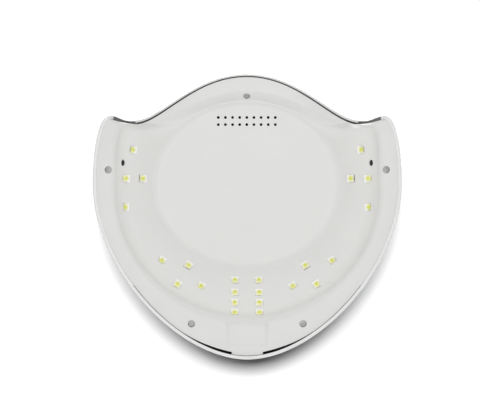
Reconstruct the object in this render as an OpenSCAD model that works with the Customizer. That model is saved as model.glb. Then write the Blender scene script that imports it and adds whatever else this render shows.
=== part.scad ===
// Nail curing lamp: a domed cover over a lined light chamber, with LED boards behind the liner.
// The lamp stands on its rim at z = 0, the hand goes in along +Y, and +X is to the right seen from above.

/* [Body] */
// Width across the widest place of the rim
body_width = 206.2; // [170:0.1:250]
// Depth from the visor's lip to the rear of the rim
body_depth = 198; // [165:0.1:240]
// Height of the crown above the table
body_height = 82; // [68:0.5:100]
// Wall of the outer cover
shell_wall = 2.4; // [2:0.1:3.2]
// Wall of the inner liner
liner_wall = 1.8; // [1.6:0.1:2.4]
// Air between the liner's edge and the cover
edge_gap = 0.5; // [0.4:0.05:1]

/* [Chamber] */
// Height of the visor's lip, as a share of the body height
visor_share = 0.73; // [0.66:0.01:0.8]
// Height where the chamber wall meets the ceiling, as a share of the body height
ceiling_share = 0.515; // [0.45:0.005:0.58]
// Extra height of the ceiling's middle over its edge
ceiling_vault = 2.2; // [1.5:0.1:3]
// Height of the flange's visible face above the table
flange_height = 0.8; // [0.5:0.1:1.5]
// Height of the steep foot of the chamber wall at the sides
side_foot = 15; // [10:0.5:18]
// Height of the steep foot of the chamber wall at the rear
rear_foot = 7; // [5:0.5:10]
// How far the steep foot leans in
foot_lean = 2.4; // [1.5:0.1:3.5]
// Lean of the cover's edge at the visor, in degrees
visor_lean = 52; // [45:1:60]

/* [Rear slit] */
// Widest opening of the slit between the flange and the cover
slit_width = 1.1; // [0.8:0.1:1.6]
// Half length of the slit, measured across the lamp
slit_reach = 45; // [35:1:55]
// Width of the tab that divides the slit
slit_tab = 19.4; // [14:0.2:26]

/* [Label recess] */
// Width of the recess at its front side
recess_width = 28; // [20:0.5:36]
// Length of the recess from front to rear
recess_length = 14.8; // [10:0.2:18]
// Depth of the recess
recess_depth = 0.5; // [0.3:0.1:0.8]
// How much narrower the recess is at its rear side
recess_taper = 1.8; // [0:0.2:4]

/* [Air vents] */
// Diameter of one vent hole
vent_diameter = 1.8; // [1.5:0.1:2.4]
// Vent holes in one row
vent_columns = 9; // [5:2:11]
// Distance between neighbouring vent holes
vent_pitch = 5.07; // [4:0.01:6]
// Front row's distance from the origin, as a share of half the depth
vent_station = 0.668; // [0.6:0.002:0.7]

/* [LED boards] */
// Side of one square LED package
led_size = 5.2; // [4.6:0.1:5.6]
// Height of the package above its board
led_height = 2.1; // [1.8:0.1:2.6]
// Diameter of the yellow lens on the package
led_lens = 4.4; // [3.6:0.1:4.6]
// Rise of the lens above the package
led_dome = 1.3; // [0.8:0.1:1.6]
// How far the package face sits behind the chamber wall's visible face
led_recess = 0.7; // [0.4:0.1:1.2]
// Air between a package and its window
window_gap = 0.45; // [0.35:0.05:0.8]
// Thickness of a circuit board
board_thickness = 1.6; // [1.2:0.1:2]
// Margin of an LED board around its packages
board_margin = 1.6; // [1.5:0.1:4]
// Post that holds an LED board, diameter
board_post = 4.2; // [3.6:0.1:5]

/* [Sensors] */
// Diameter of the hand sensor's body
sensor_diameter = 3; // [2.8:0.1:3.4]
// Diameter of the sensor's hole in the liner
sensor_hole = 4.4; // [3.8:0.1:5]

/* [Case screws] */
// Diameter of a case screw's head
screw_head = 4.6; // [4:0.1:6]
// Height of a case screw's head
screw_head_height = 1.8; // [1.4:0.1:2.4]
// Diameter of a case screw's shank
screw_shank = 2.9; // [2.6:0.1:3.2]
// Length of a case screw's shank
screw_length = 9; // [7:0.5:12]
// Depth of a screw well below the flange
well_depth = 6.5; // [6:0.5:11]
// Wall around a screw well
well_wall = 1.5; // [1.2:0.1:2]
// Air between a screw head and its well
head_gap = 0.4; // [0.3:0.05:0.8]
// Air around a screw's shank in the liner's hole
shank_gap = 0.3; // [0.3:0.05:0.5]
// How far a screw post's pilot hole is larger than the shank
pilot_gap = 0.05; // [0.03:0.01:0.1]

/* [Timer keys] */
// Diameter of a key's cap
key_diameter = 9.6; // [9:0.2:12]
// Distance between neighbouring keys
key_pitch = 14.5; // [13:0.5:17]
// How far a key's cap stands above the bezel
key_rise = 1.2; // [0.6:0.1:1.6]
// Travel of a key
key_travel = 0.4; // [0.25:0.05:0.6]
// Air around a moving key
key_gap = 0.35; // [0.3:0.05:0.5]
// Bezel's length across the lamp
bezel_length = 45; // [42:1:50]
// Bezel's width from front to rear
bezel_width = 18; // [16:0.5:21]
// Bezel's thickness
bezel_thickness = 3; // [2.8:0.1:3.6]
// Depth of the bezel's face below the crown line at its centre
bezel_sink = 2.5; // [2:0.1:3]
// Distance of the keys in front of the origin, as a share of half the depth
panel_station = 0.57; // [0.5:0.01:0.62]

/* [Power socket] */
// Diameter of the socket's collar
jack_collar = 11; // [10:0.2:12.5]
// Diameter of the socket's barrel
jack_barrel = 8; // [7.6:0.1:9]
// Diameter of the plug hole in the socket
jack_mouth = 5.7; // [5.6:0.05:6]
// Diameter of the socket's centre pin
jack_pin = 2; // [1.9:0.05:2.5]
// Length of the socket's barrel behind the cover
jack_length = 15; // [13:0.5:18]
// Height of the socket above the table
jack_height = 17; // [14:0.5:22]

/* [Control board] */
// Control board's width across the lamp
control_width = 78; // [60:1:90]
// Control board's length from front to rear
control_length = 46; // [36:1:56]
// Height of the posts under the control board
control_post = 5; // [3:0.5:8]
// Diameter of a lead's insulation
lead_diameter = 1.3; // [1:0.1:1.8]

/* [Hidden] */
half_width = body_width / 2;
half_depth = body_depth / 2;
visor_height = body_height * visor_share;
ceiling_edge = body_height * ceiling_share;
ceiling_top = ceiling_edge + ceiling_vault;
centre_y = -0.19 * half_depth;
shell_white = [0.95, 0.95, 0.945];
liner_white = [0.9, 0.9, 0.89];
board_white = [0.93, 0.93, 0.9];
board_green = [0.1, 0.34, 0.2];
plastic_black = [0.05, 0.05, 0.055];
metal_grey = [0.62, 0.63, 0.65];
copper_tone = [0.78, 0.6, 0.35];
bite = 0.4;
eps = 0.02;
round_facets = 48;

// Places on a curve are given as shares: x of the half width, y of the half depth, z of the visor height.
function place(share) = [share[0] * half_width, share[1] * half_depth, share[2] * visor_height];
function segment(a, b, c, d) = [place(a), place(b), place(c), place(d)];

// The cover's edge: rear, widest place, front corner, arch shoulder, visor lip.
rear_end = [0, 1, 0];
widest = [1, -0.19, 0];
corner = [0.915, -0.63, 0];
shoulder = [0.764, -0.643, 0.7];
lip = [0, -1, 1];
edge_curve = [
  segment(rear_end, [0.43, 1, 0], [1, 0.393, 0], widest),
  segment(widest, [1, -0.37, 0], [0.971, -0.594, 0], corner),
  segment(corner, [0.84, -0.679, 0], [0.855, -0.61, 0.533], shoulder),
  segment(shoulder, [0.594, -0.705, 0.9], [0.357, -1, 1], lip)
];

// The crease between the flange and the chamber wall, with the same five stations.
crease_low = 2 / visor_height;
crease_rear = [0, 0.733, crease_low];
crease_side = [0.862, -0.149, crease_low];
crease_corner = [0.817, -0.576, 2 * crease_low];
crease_shoulder = [0.66, -0.624, 0.733];
crease_lip = [0, -0.871, 0.942];
crease_curve = [
  segment(crease_rear, [0.388, 0.733, crease_low], [0.862, 0.416, crease_low], crease_side),
  segment(crease_side, [0.862, -0.412, crease_low], [0.859, -0.543, crease_low], crease_corner),
  segment(crease_corner, [0.781, -0.603, 0.1], [0.766, -0.602, 0.5], crease_shoulder),
  segment(crease_shoulder, [0.553, -0.646, 0.867], [0.291, -0.871, 0.942], crease_lip)
];

// The ceiling's edge is an ellipse; these are its angles at the five stations.
ceiling_middle = [0, -0.187 * half_depth];
ceiling_half = [0.65 * half_width, 0.601 * half_depth];
station_angles = [90, 2, -30, -44, -90];
steps = [18, 9, 8, 11];

function bezier(p, t) =
  pow(1 - t, 3) * p[0] + 3 * pow(1 - t, 2) * t * p[1] + 3 * (1 - t) * t * t * p[2] + pow(t, 3) * p[3];
function mix(a, b, t) = a + (b - a) * t;
function ease(t) = t * t * (3 - 2 * t);
function along(curve, count) =
  concat([curve[0][0]], [for (k = [0 : 3]) for (i = [1 : count[k]]) bezier(curve[k], i / count[k])]);
function mirrored(p) = [-p[0], p[1], p[2]];
function closed(half) = concat(half, [for (i = [len(half) - 2 : -1 : 1]) mirrored(half[i])]);
function unit(v) = v / norm(v);
function flat(v) = [v[0], v[1], 0];
function before(loop, i) = loop[(i + len(loop) - 1) % len(loop)];
function after(loop, i) = loop[(i + 1) % len(loop)];
function inward(loop, i) =
  let (d = unit(flat(after(loop, i) - before(loop, i)))) [d[1], -d[0], 0];
function station_values(v, count) =
  concat([v[0]], [for (k = [0 : 3]) for (i = [1 : count[k]]) mix(v[k], v[k + 1], i / count[k])]);
function eased_values(v, count) =
  concat([v[0]], [for (k = [0 : 3]) for (i = [1 : count[k]]) mix(v[k], v[k + 1], ease(i / count[k]))]);
function closed_values(half) = concat(half, [for (i = [len(half) - 2 : -1 : 1]) half[i]]);

edge = closed(along(edge_curve, steps));
crease = closed(along(crease_curve, steps));
angles = station_values(station_angles, steps);
function on_ceiling(angle, share, z) = [
  ceiling_middle[0] + share * ceiling_half[0] * cos(angle),
  ceiling_middle[1] + share * ceiling_half[1] * sin(angle),
  z
];
function ceiling_loop(share, z) =
  closed([for (i = [0 : len(angles) - 1])
    let (p = on_ceiling(angles[i], share, z))
    i == 0 || i == len(angles) - 1 ? [0, p[1], p[2]] : p]);
ceiling_rim = ceiling_loop(1, ceiling_edge);
count = len(edge);

// The cover is one smooth dome; its edge cuts the dome lower at the sides and higher at the visor.
dome_roundness = 2.6;
dome_squareness = 2.2;
dome_middle = [0, centre_y];
function lift(z) = z / visor_height;
function edge_share(edge_z, top) = pow(1 - pow(edge_z / top, dome_squareness), 1 / dome_roundness);
function dome_height(edge_z, top, s) =
  top * pow(1 - pow(s * edge_share(edge_z, top), dome_roundness), 1 / dome_squareness);
function edge_inset(i, amount) =
  let (lean = visor_lean * lift(edge[i][2]))
  edge[i] + amount * (cos(lean) * inward(edge, i) - [0, 0, sin(lean)]);
function dome_ring(inset, s) = [for (i = [0 : count - 1])
  let (p = edge_inset(i, inset))
  [
    mix(dome_middle[0], p[0], s),
    mix(dome_middle[1], p[1], s),
    s > 0.999 ? p[2] : dome_height(p[2], body_height - inset, s)
  ]];
function crown_line(y) = dome_height(visor_height, body_height, (y - centre_y) / (-half_depth - centre_y));
outer_steps = [0.15, 0.32, 0.48, 0.63, 0.76, 0.86, 0.93, 0.97, 0.992, 1];
inner_steps = [1, 0.988, 0.96, 0.91, 0.83, 0.72, 0.58, 0.4, 0.2];

// A closed skin through a list of loops, with a point at either end.
module skin(loops, first_point, last_point) {
  n = len(loops[0]);
  m = len(loops);
  points = concat([first_point], [for (loop = loops) each loop], [last_point]);
  function at(j, i) = 1 + j * n + i % n;
  first_cap = [for (i = [0 : n - 1]) [0, at(0, i), at(0, i + 1)]];
  last_cap = [for (i = [0 : n - 1]) [1 + m * n, at(m - 1, i + 1), at(m - 1, i)]];
  bands = [for (j = [0 : m - 2]) for (i = [0 : n - 1]) each [
    [at(j, i + 1), at(j, i), at(j + 1, i)],
    [at(j, i + 1), at(j + 1, i), at(j + 1, i + 1)]
  ]];
  polyhedron(points = points, faces = concat(first_cap, bands, last_cap), convexity = 6);
}

module cover_skin() {
  skin(
    concat(
      [for (s = outer_steps) dome_ring(0, s)],
      [for (s = inner_steps) dome_ring(shell_wall, s)]
    ),
    [dome_middle[0], dome_middle[1], body_height],
    [dome_middle[0], dome_middle[1], body_height - shell_wall]
  );
}

// The room under the cover, as far as the middle of its wall; inner fittings are cut to it.
module under_cover() {
  inset = shell_wall / 2;
  skin(
    [for (s = outer_steps) dome_ring(inset, s)],
    [dome_middle[0], dome_middle[1], body_height - inset],
    [dome_middle[0], dome_middle[1], -1]
  );
}

// The liner's visible face, from the flange's edge to the middle of the ceiling.
foot_rises = closed_values(eased_values([rear_foot, side_foot, 0.6 * side_foot, 0, 0], steps));
liner_edge_wall = 1.2;
flange_rim = [for (i = [0 : count - 1])
  let (w = lift(edge[i][2]), lean = visor_lean * w)
  edge_inset(i, shell_wall + edge_gap + liner_edge_wall * sin(lean)) + [0, 0, flange_height * (1 - w)]];
foot_top = [for (i = [0 : count - 1])
  let (f = foot_rises[i] / side_foot)
  crease[i] + 0.12 * (1 - f) * (ceiling_rim[i] - crease[i])
    + f * foot_lean * inward(crease, i) + [0, 0, foot_rises[i]]];
wall_middle = [for (i = [0 : count - 1]) mix(foot_top[i], ceiling_rim[i], 0.5)];
liner_loops = [
  flange_rim,
  [for (i = [0 : count - 1]) mix(flange_rim[i], crease[i], 0.5)],
  crease,
  foot_top,
  wall_middle,
  ceiling_rim,
  ceiling_loop(0.955, ceiling_edge + 0.62 * ceiling_vault),
  ceiling_loop(0.86, ceiling_edge + 0.86 * ceiling_vault),
  ceiling_loop(0.45, ceiling_edge + 0.97 * ceiling_vault)
];
liner_point = [ceiling_middle[0], ceiling_middle[1], ceiling_top];
function facing(loops, j, i) =
  let (
    low = loops[max(0, j - 1)][i],
    high = loops[min(len(loops) - 1, j + 1)][i],
    side = after(loops[j], i) - before(loops[j], i)
  )
  unit(cross(side, high - low));
function backed(loops, thickness, edge_thickness) = [for (j = [len(loops) - 1 : -1 : 0])
  [for (i = [0 : count - 1])
    j == 0 ? loops[0][i] + [0, 0, edge_thickness]
    : loops[j][i] - thickness * facing(loops, j, i)]];

module liner_skin() {
  skin(
    concat(backed(liner_loops, liner_wall, liner_edge_wall), liner_loops),
    liner_point + [0, 0, liner_wall],
    liner_point
  );
}

// Everything behind the liner's visible face; posts and wells are cut to it.
module behind_liner() {
  depth = 40;
  skin(
    concat(
      [for (j = [len(liner_loops) - 1 : -1 : 0]) [for (p = liner_loops[j]) p + [0, 0, depth]]],
      [for (j = [0 : len(liner_loops) - 1]) [for (p = liner_loops[j]) p + [0, 0, bite]]]
    ),
    liner_point + [0, 0, depth],
    liner_point + [0, 0, bite]
  );
}

// A board's frame on the chamber wall: x along the wall, y up the wall, z into the chamber.
side_index = 20;
rear_side_index = 7;
rear_index = 0;
side_shift = 0.5;
rear_side_shift = 0.6;
rear_shift = 0.3;
function wall_axes(i) =
  let (
    along_wall = unit(flat(after(wall_middle, i) - before(wall_middle, i))),
    face = unit(cross(along_wall, ceiling_rim[i] - foot_top[i]))
  )
  [along_wall, cross(face, along_wall), face];
function wall_point(i, shift, x, y, z) =
  let (a = wall_axes(i))
  mix(foot_top[i], ceiling_rim[i], 0.5) + x * a[0] + y * a[1] + (z + shift) * a[2];
module on_wall(i, shift) {
  a = wall_axes(i);
  o = wall_point(i, shift, 0, 0, 0);
  multmatrix([
    [a[0][0], a[1][0], a[2][0], o[0]],
    [a[0][1], a[1][1], a[2][1], o[1]],
    [a[0][2], a[1][2], a[2][2], o[2]],
    [0, 0, 0, 1]
  ]) children();
}
module on_side() {
  on_wall(side_index, side_shift) children();
}
module on_rear_side() {
  on_wall(rear_side_index, rear_side_shift) children();
}
module on_rear() {
  on_wall(rear_index, rear_shift) children();
}
module left_copy() {
  mirror([1, 0, 0]) children();
}

// Where the packages sit in each board's frame, as [along the wall, up the wall].
side_spots = [[15, -5.2], [-5.1, -10.6], [-4.3, 6.4], [-24.8, -10]];
rear_side_spots = [[19.2, -1.9], [1.8, 7.3], [1.4, -13], [-13.1, -3.3]];
rear_spots = [for (x = [-8.4, 8.4]) for (y = [-20, -11, -1.6, 9.8]) [x, y]];
side_posts = [[-14, -3], [5.5, -3.5]];
rear_side_posts = [[-5.8, -2.8], [10, -2.6]];
rear_posts = [[0, -15.5], [0, 4]];
sensor_spot = [5.4, -14.6];
package_face = -led_recess;
board_face = package_face - led_height;
board_back = board_face - board_thickness;

function lows(spots, k) = min([for (p = spots) p[k]]) - led_size / 2 - board_margin;
function highs(spots, k) = max([for (p = spots) p[k]]) + led_size / 2 + board_margin;
board_corner = 2;
board_screw_shank = 1.7;
board_screw_head = 3.4;
board_screw_head_height = 1.2;
board_screw_length = 2.6;
board_screw_hole = 2.2;
solder_gap = 0.02;

module rounded_slab(low_x, low_y, high_x, high_y, corner_radius, z, thickness) {
  translate([0, 0, z])
    linear_extrude(height = thickness)
      translate([low_x + corner_radius, low_y + corner_radius])
        rounded_outline(high_x - low_x, high_y - low_y, corner_radius);
}
module rounded_outline(size_x, size_y, r) {
  inner_x = size_x - 2 * r;
  inner_y = size_y - 2 * r;
  union() {
    translate([-r, 0]) square([size_x, inner_y]);
    translate([0, -r]) square([inner_x, size_y]);
    for (x = [0, inner_x]) {
      for (y = [0, inner_y]) {
        translate([x, y]) circle(r = r, $fn = round_facets);
      }
    }
  }
}
module led_board(spots, posts) {
  difference() {
    rounded_slab(
      lows(spots, 0), lows(spots, 1), highs(spots, 0), highs(spots, 1),
      board_corner, board_back, board_thickness
    );
    for (p = posts) {
      translate([p[0], p[1], board_back - 1])
        cylinder(d = board_screw_hole, h = board_thickness + 2, $fn = round_facets);
    }
  }
}
module led_package() {
  lens_radius = (pow(led_lens / 2, 2) + pow(led_dome, 2)) / (2 * led_dome);
  translate([-led_size / 2, -led_size / 2, board_face])
    cube([led_size, led_size, led_height]);
  intersection() {
    translate([0, 0, package_face + led_dome - lens_radius])
      sphere(r = lens_radius, $fn = round_facets);
    translate([0, 0, package_face - solder_gap])
      cylinder(d = 2 * led_lens, h = 2 * led_dome, $fn = round_facets);
  }
}
module led_group(spots) {
  for (p = spots) {
    translate([p[0], p[1], 0]) led_package();
  }
}
module window_cuts(spots) {
  opening = led_size + 2 * window_gap;
  cut_back = 7;
  cut_front = 5;
  for (p = spots) {
    translate([p[0] - opening / 2, p[1] - opening / 2, -cut_back])
      cube([opening, opening, cut_back + cut_front]);
  }
}
module board_posts(posts) {
  reach = 3.4;
  for (p = posts) {
    translate([p[0], p[1], board_face])
      cylinder(d = board_post, h = reach, $fn = round_facets);
  }
}
module board_pilots(posts) {
  for (p = posts) {
    translate([p[0], p[1], board_face - 1])
      cylinder(d = board_screw_shank + 2 * pilot_gap, h = 1 + board_screw_length - board_thickness + bite,
        $fn = round_facets);
  }
}
module board_screws(posts) {
  for (p = posts) {
    translate([p[0], p[1], board_back - board_screw_head_height])
      cylinder(d = board_screw_head, h = board_screw_head_height, $fn = round_facets);
    translate([p[0], p[1], board_back - eps])
      cylinder(d = board_screw_shank, h = board_screw_length + eps, $fn = round_facets);
  }
}

// Case screws stand upright in wells; the front one sits in the sloping band.
side_screw = [0.9 * half_width, -0.278 * half_depth];
rear_screw = [0.361 * half_width, 0.76 * half_depth];
front_screw = [0, -0.826 * half_depth];
seat_height = flange_height + well_depth;
front_seat = 0.945 * visor_height;
seat_wall = 2;
well_radius = screw_head / 2 + head_gap;
post_radius = screw_shank / 2 + 2;
low_screws = [
  side_screw, [-side_screw[0], side_screw[1]],
  rear_screw, [-rear_screw[0], rear_screw[1]]
];
module at_screws() {
  for (p = low_screws) {
    translate([p[0], p[1], seat_height]) children();
  }
  translate([front_screw[0], front_screw[1], front_seat]) children();
}
module well_bodies() {
  below = 20;
  at_screws()
    translate([0, 0, -below])
      cylinder(r = well_radius + well_wall, h = below + seat_wall, $fn = round_facets);
}
module well_cuts() {
  below = 20;
  at_screws() {
    translate([0, 0, -below]) cylinder(r = well_radius, h = below, $fn = round_facets);
    cylinder(d = screw_shank + 2 * shank_gap, h = seat_wall + 1, $fn = round_facets);
  }
}

// The flange's recess for a label, wider and deeper at its front side.
recess_front = 0.757 * half_depth;
recess_floor = crease_low * visor_height + recess_depth - 0.1;
recess_slope = 5;
module recess_cut() {
  front_half = recess_width / 2;
  rear_half = front_half - recess_taper / 2;
  translate([0, recess_front, recess_floor])
    rotate([-recess_slope, 0, 0])
      translate([0, 0, -4])
        linear_extrude(height = 4)
          polygon([
            [-front_half, 0], [front_half, 0],
            [rear_half, recess_length], [-rear_half, recess_length]
          ]);
}

// The slit between flange and cover opens towards the rear and is split by a tab.
function slit_opening(p) = slit_width * ease(max(0, min(1, (slit_reach - abs(p[0])) / (slit_reach * 0.8))));
module slit_cut() {
  steps_half = 18;
  reach_points = [for (i = [0 : steps_half]) if (edge[i][0] < slit_reach * 1.1) i];
  outer_line = [for (i = reach_points) edge_inset(i, shell_wall - bite)];
  inner_line = [for (i = reach_points) edge_inset(i, shell_wall + edge_gap + slit_opening(edge[i]))];
  right_outer = [for (p = outer_line) [p[0], p[1]]];
  right_inner = [for (i = [len(inner_line) - 1 : -1 : 0]) [inner_line[i][0], inner_line[i][1]]];
  for (side = [0, 1]) {
    mirror([side, 0, 0])
      translate([0, 0, -1])
        difference() {
          linear_extrude(height = 6) polygon(concat(right_outer, right_inner));
          translate([-slit_tab, 0, -1]) cube([1.5 * slit_tab, body_depth, 8]);
        }
  }
}

// Vent holes through the front of the ceiling.
module vent_cuts() {
  for (row = [0, 1]) {
    for (k = [0 : vent_columns - 1]) {
      x = (k - (vent_columns - 1) / 2) * vent_pitch;
      y = row * vent_pitch - vent_station * half_depth;
      translate([x, y, ceiling_edge - 2]) cylinder(d = vent_diameter, h = 10, $fn = 24);
    }
  }
}

// The key panel's frame lies on the cover's crown line, tilted with it.
panel_y = -panel_station * half_depth;
panel_z = crown_line(panel_y);
panel_tilt = atan((crown_line(panel_y + 1) - crown_line(panel_y - 1)) / 2);
module on_panel() {
  translate([0, panel_y, panel_z]) rotate([panel_tilt, 0, 0]) children();
}
bezel_top = -bezel_sink;
bezel_bottom = bezel_top - bezel_thickness;
bezel_corner = 4;
bezel_gap = 0.3;
bezel_web = 1.2;
tray_wall = 2.2;
tray_floor = 2.2;
tray_bottom = bezel_bottom - tray_floor;
key_y = 1.2;
key_flange = 0.8;
key_flange_reach = 1;
key_slack = 0.05;
key_post = 4.6;
key_post_end = tray_bottom - 0.6;
key_columns = [-key_pitch, 0, key_pitch];
lens_y = -6.3;
lens_diameter = 2;
lens_gap = 0.1;
switch_size = 6;
switch_height = 3.4;
switch_stem = 3;
switch_top = key_post_end - 1.2;
stem_depth = 0.9;
stem_room = 0.3;
key_board_top = switch_top - switch_height;
key_board_length = bezel_length + 2 * tray_wall;
key_board_width = 15;
key_board_post_x = key_board_length / 2 - 3.2;
indicator_size = 1.6;
indicator_height = 1;

// The power socket's frame: z runs out of the socket, towards the rear.
jack_face = 0.95 * half_depth;
jack_pad_wall = 2.6;
jack_pocket = jack_collar + 5;
jack_collar_depth = 1.6;
jack_mouth_depth = 9.6;
jack_pin_base = 2.8;
jack_pin_start = jack_collar_depth - jack_mouth_depth;
jack_pin_end = 0.4;
jack_nut_width = 12.7;
jack_nut_height = 2.4;
jack_fit = 0.1;
jack_lug_length = 4.5;
module on_jack() {
  translate([0, jack_face, jack_height]) rotate([-90, 0, 0]) children();
}

// The control board lies over the ceiling.
control_y = -0.06 * half_depth;
control_z = ceiling_top + liner_wall + control_post;
control_top = control_z + board_thickness;
control_hole_x = control_width / 2 - 4;
control_hole_y = control_length / 2 - 4;
header_size = [7, 5, 6];
header_inset = 0.5;
side_header_y = [-10, 8];
rear_header_x = [-16, 16];

module outer_shell() {
  color(shell_white) difference() {
    union() {
      cover_skin();
      intersection() {
        under_cover();
        union() {
          cover_posts();
          key_tray();
          on_jack() translate([0, 0, -jack_pad_wall])
            cylinder(d = jack_pocket + 4, h = 12, $fn = round_facets);
        }
      }
    }
    cover_pilots();
    key_tray_cuts();
    on_jack() {
      cylinder(d = jack_pocket, h = 12, $fn = round_facets);
      translate([0, 0, -jack_pad_wall - 1])
        cylinder(d = jack_barrel + 2 * jack_fit + 0.3, h = jack_pad_wall + 2, $fn = round_facets);
    }
  }
}
post_gap = 0.3;
post_rib = 2;
module cover_posts() {
  tall = body_height;
  at_screws()
    translate([0, 0, seat_wall + post_gap])
      cylinder(r = post_radius, h = tall, $fn = round_facets);
  for (p = low_screws) {
    turn = atan2(p[1] - centre_y, p[0]);
    translate([p[0], p[1], seat_height + seat_wall + post_gap + 2])
      rotate([0, 0, turn])
        translate([0, -post_rib / 2, 0]) cube([30, post_rib, tall]);
  }
}
module cover_pilots() {
  at_screws()
    translate([0, 0, seat_wall])
      cylinder(d = screw_shank + 2 * pilot_gap, h = screw_length - seat_wall + bite, $fn = round_facets);
}
module bezel_outline(margin) {
  translate([-bezel_length / 2 - margin, -bezel_width / 2 - margin])
    translate([bezel_corner + margin, bezel_corner + margin])
      rounded_outline(bezel_length + 2 * margin, bezel_width + 2 * margin, bezel_corner + margin);
}
module key_tray() {
  on_panel() {
    translate([0, 0, tray_bottom])
      linear_extrude(height = 20) bezel_outline(tray_wall);
    for (x = [-key_board_post_x, key_board_post_x]) {
      translate([x, 0, key_board_top])
        cylinder(d = board_post, h = tray_bottom - key_board_top + 1, $fn = round_facets);
    }
  }
}
module key_tray_cuts() {
  on_panel() {
    translate([0, 0, bezel_bottom])
      linear_extrude(height = 20) bezel_outline(bezel_gap);
    for (x = key_columns) {
      translate([x, key_y, tray_bottom - 1])
        cylinder(d = key_post + 2 * key_gap, h = tray_floor + 2, $fn = round_facets);
      translate([x, lens_y, tray_bottom - 1])
        cylinder(d = lens_diameter + 2 * lens_gap, h = tray_floor + 2, $fn = 24);
    }
    for (x = [-key_board_post_x, key_board_post_x]) {
      translate([x, 0, key_board_top - 1])
        cylinder(d = board_screw_shank + 2 * pilot_gap, h = 1 + board_screw_length - board_thickness + bite,
          $fn = round_facets);
    }
  }
}

module inner_liner() {
  color(liner_white) difference() {
    union() {
      liner_skin();
      intersection() {
        behind_liner();
        union() {
          well_bodies();
          control_posts();
          on_side() board_posts(side_posts);
          left_copy() on_side() board_posts(side_posts);
          on_rear_side() board_posts(rear_side_posts);
          left_copy() on_rear_side() board_posts(rear_side_posts);
          on_rear() board_posts(rear_posts);
        }
      }
    }
    well_cuts();
    for (side = [0, 1]) {
      mirror([side, 0, 0]) {
        on_side() {
          window_cuts(side_spots);
          board_pilots(side_posts);
          translate([sensor_spot[0], sensor_spot[1], -7])
            cylinder(d = sensor_hole, h = 11, $fn = round_facets);
        }
        on_rear_side() {
          window_cuts(rear_side_spots);
          board_pilots(rear_side_posts);
        }
      }
    }
    on_rear() {
      window_cuts(rear_spots);
      board_pilots(rear_posts);
    }
    control_pilots();
    vent_cuts();
    slit_cut();
    recess_cut();
  }
}
module at_control_holes() {
  for (x = [-control_hole_x, control_hole_x]) {
    for (y = [-control_hole_y, control_hole_y]) {
      translate([x, control_y + y, control_z]) children();
    }
  }
}
module control_posts() {
  at_control_holes()
    translate([0, 0, -control_post - 2 * liner_wall])
      cylinder(d = board_post, h = control_post + 2 * liner_wall, $fn = round_facets);
}
module control_pilots() {
  depth = board_screw_length - board_thickness + bite;
  at_control_holes()
    translate([0, 0, -depth])
      cylinder(d = board_screw_shank + 2 * pilot_gap, h = depth + 1, $fn = round_facets);
}

module side_board_solid() {
  notch = post_radius + 0.8;
  difference() {
    on_side() led_board(concat(side_spots, [sensor_spot]), side_posts);
    translate([side_screw[0], side_screw[1], 0]) cylinder(r = notch, h = body_height, $fn = round_facets);
  }
}
module rear_side_board_solid() {
  on_rear_side() led_board(rear_side_spots, rear_side_posts);
}
module led_board_right() {
  color(board_white) side_board_solid();
}
module led_board_left() {
  color(board_white) left_copy() side_board_solid();
}
module led_board_rear_right() {
  color(board_white) rear_side_board_solid();
}
module led_board_rear_left() {
  color(board_white) left_copy() rear_side_board_solid();
}
module led_board_rear() {
  color(board_white) on_rear() led_board(rear_spots, rear_posts);
}
led_yellow = [0.93, 0.86, 0.3];
module leds_right() {
  color(led_yellow) on_side() led_group(side_spots);
}
module leds_left() {
  color(led_yellow) left_copy() on_side() led_group(side_spots);
}
module leds_rear_right() {
  color(led_yellow) on_rear_side() led_group(rear_side_spots);
}
module leds_rear_left() {
  color(led_yellow) left_copy() on_rear_side() led_group(rear_side_spots);
}
module leds_rear() {
  color(led_yellow) on_rear() led_group(rear_spots);
}
module led_board_screws() {
  color(metal_grey) {
    for (side = [0, 1]) {
      mirror([side, 0, 0]) {
        on_side() board_screws(side_posts);
        on_rear_side() board_screws(rear_side_posts);
      }
    }
    on_rear() board_screws(rear_posts);
  }
}

// One hand sensor: a round body with a domed tip on a small foot.
module sensor_body() {
  tip = -led_recess + 0.2;
  radius = sensor_diameter / 2;
  foot = 0.8;
  translate([sensor_spot[0], sensor_spot[1], 0]) {
    translate([0, 0, board_face]) cylinder(r = radius + 0.3, h = foot, $fn = round_facets);
    translate([0, 0, board_face + foot - eps])
      cylinder(r = radius, h = tip - radius / 2 - board_face - foot + eps, $fn = round_facets);
    translate([0, 0, tip - radius / 2 - eps])
      cylinder(r1 = radius, r2 = 0.6 * radius, h = radius / 2 + eps, $fn = round_facets);
  }
}
module ir_emitter() {
  color(plastic_black) left_copy() on_side() sensor_body();
}
module ir_receiver() {
  color(plastic_black) on_side() sensor_body();
}

module case_screws() {
  color(metal_grey) at_screws() case_screw();
}
module case_screw() {
  slot_size = 0.7;
  slot_length = 3;
  slot_depth = 0.8;
  difference() {
    union() {
      translate([0, 0, -screw_head_height])
        cylinder(d = screw_head, h = screw_head_height, $fn = round_facets);
      translate([0, 0, -eps]) cylinder(d = screw_shank, h = screw_length + eps, $fn = round_facets);
    }
    for (turn = [0, 90]) {
      rotate([0, 0, turn])
        translate([-slot_length / 2, -slot_size / 2, -screw_head_height - 1])
          cube([slot_length, slot_size, slot_depth + 1]);
    }
  }
}

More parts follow.
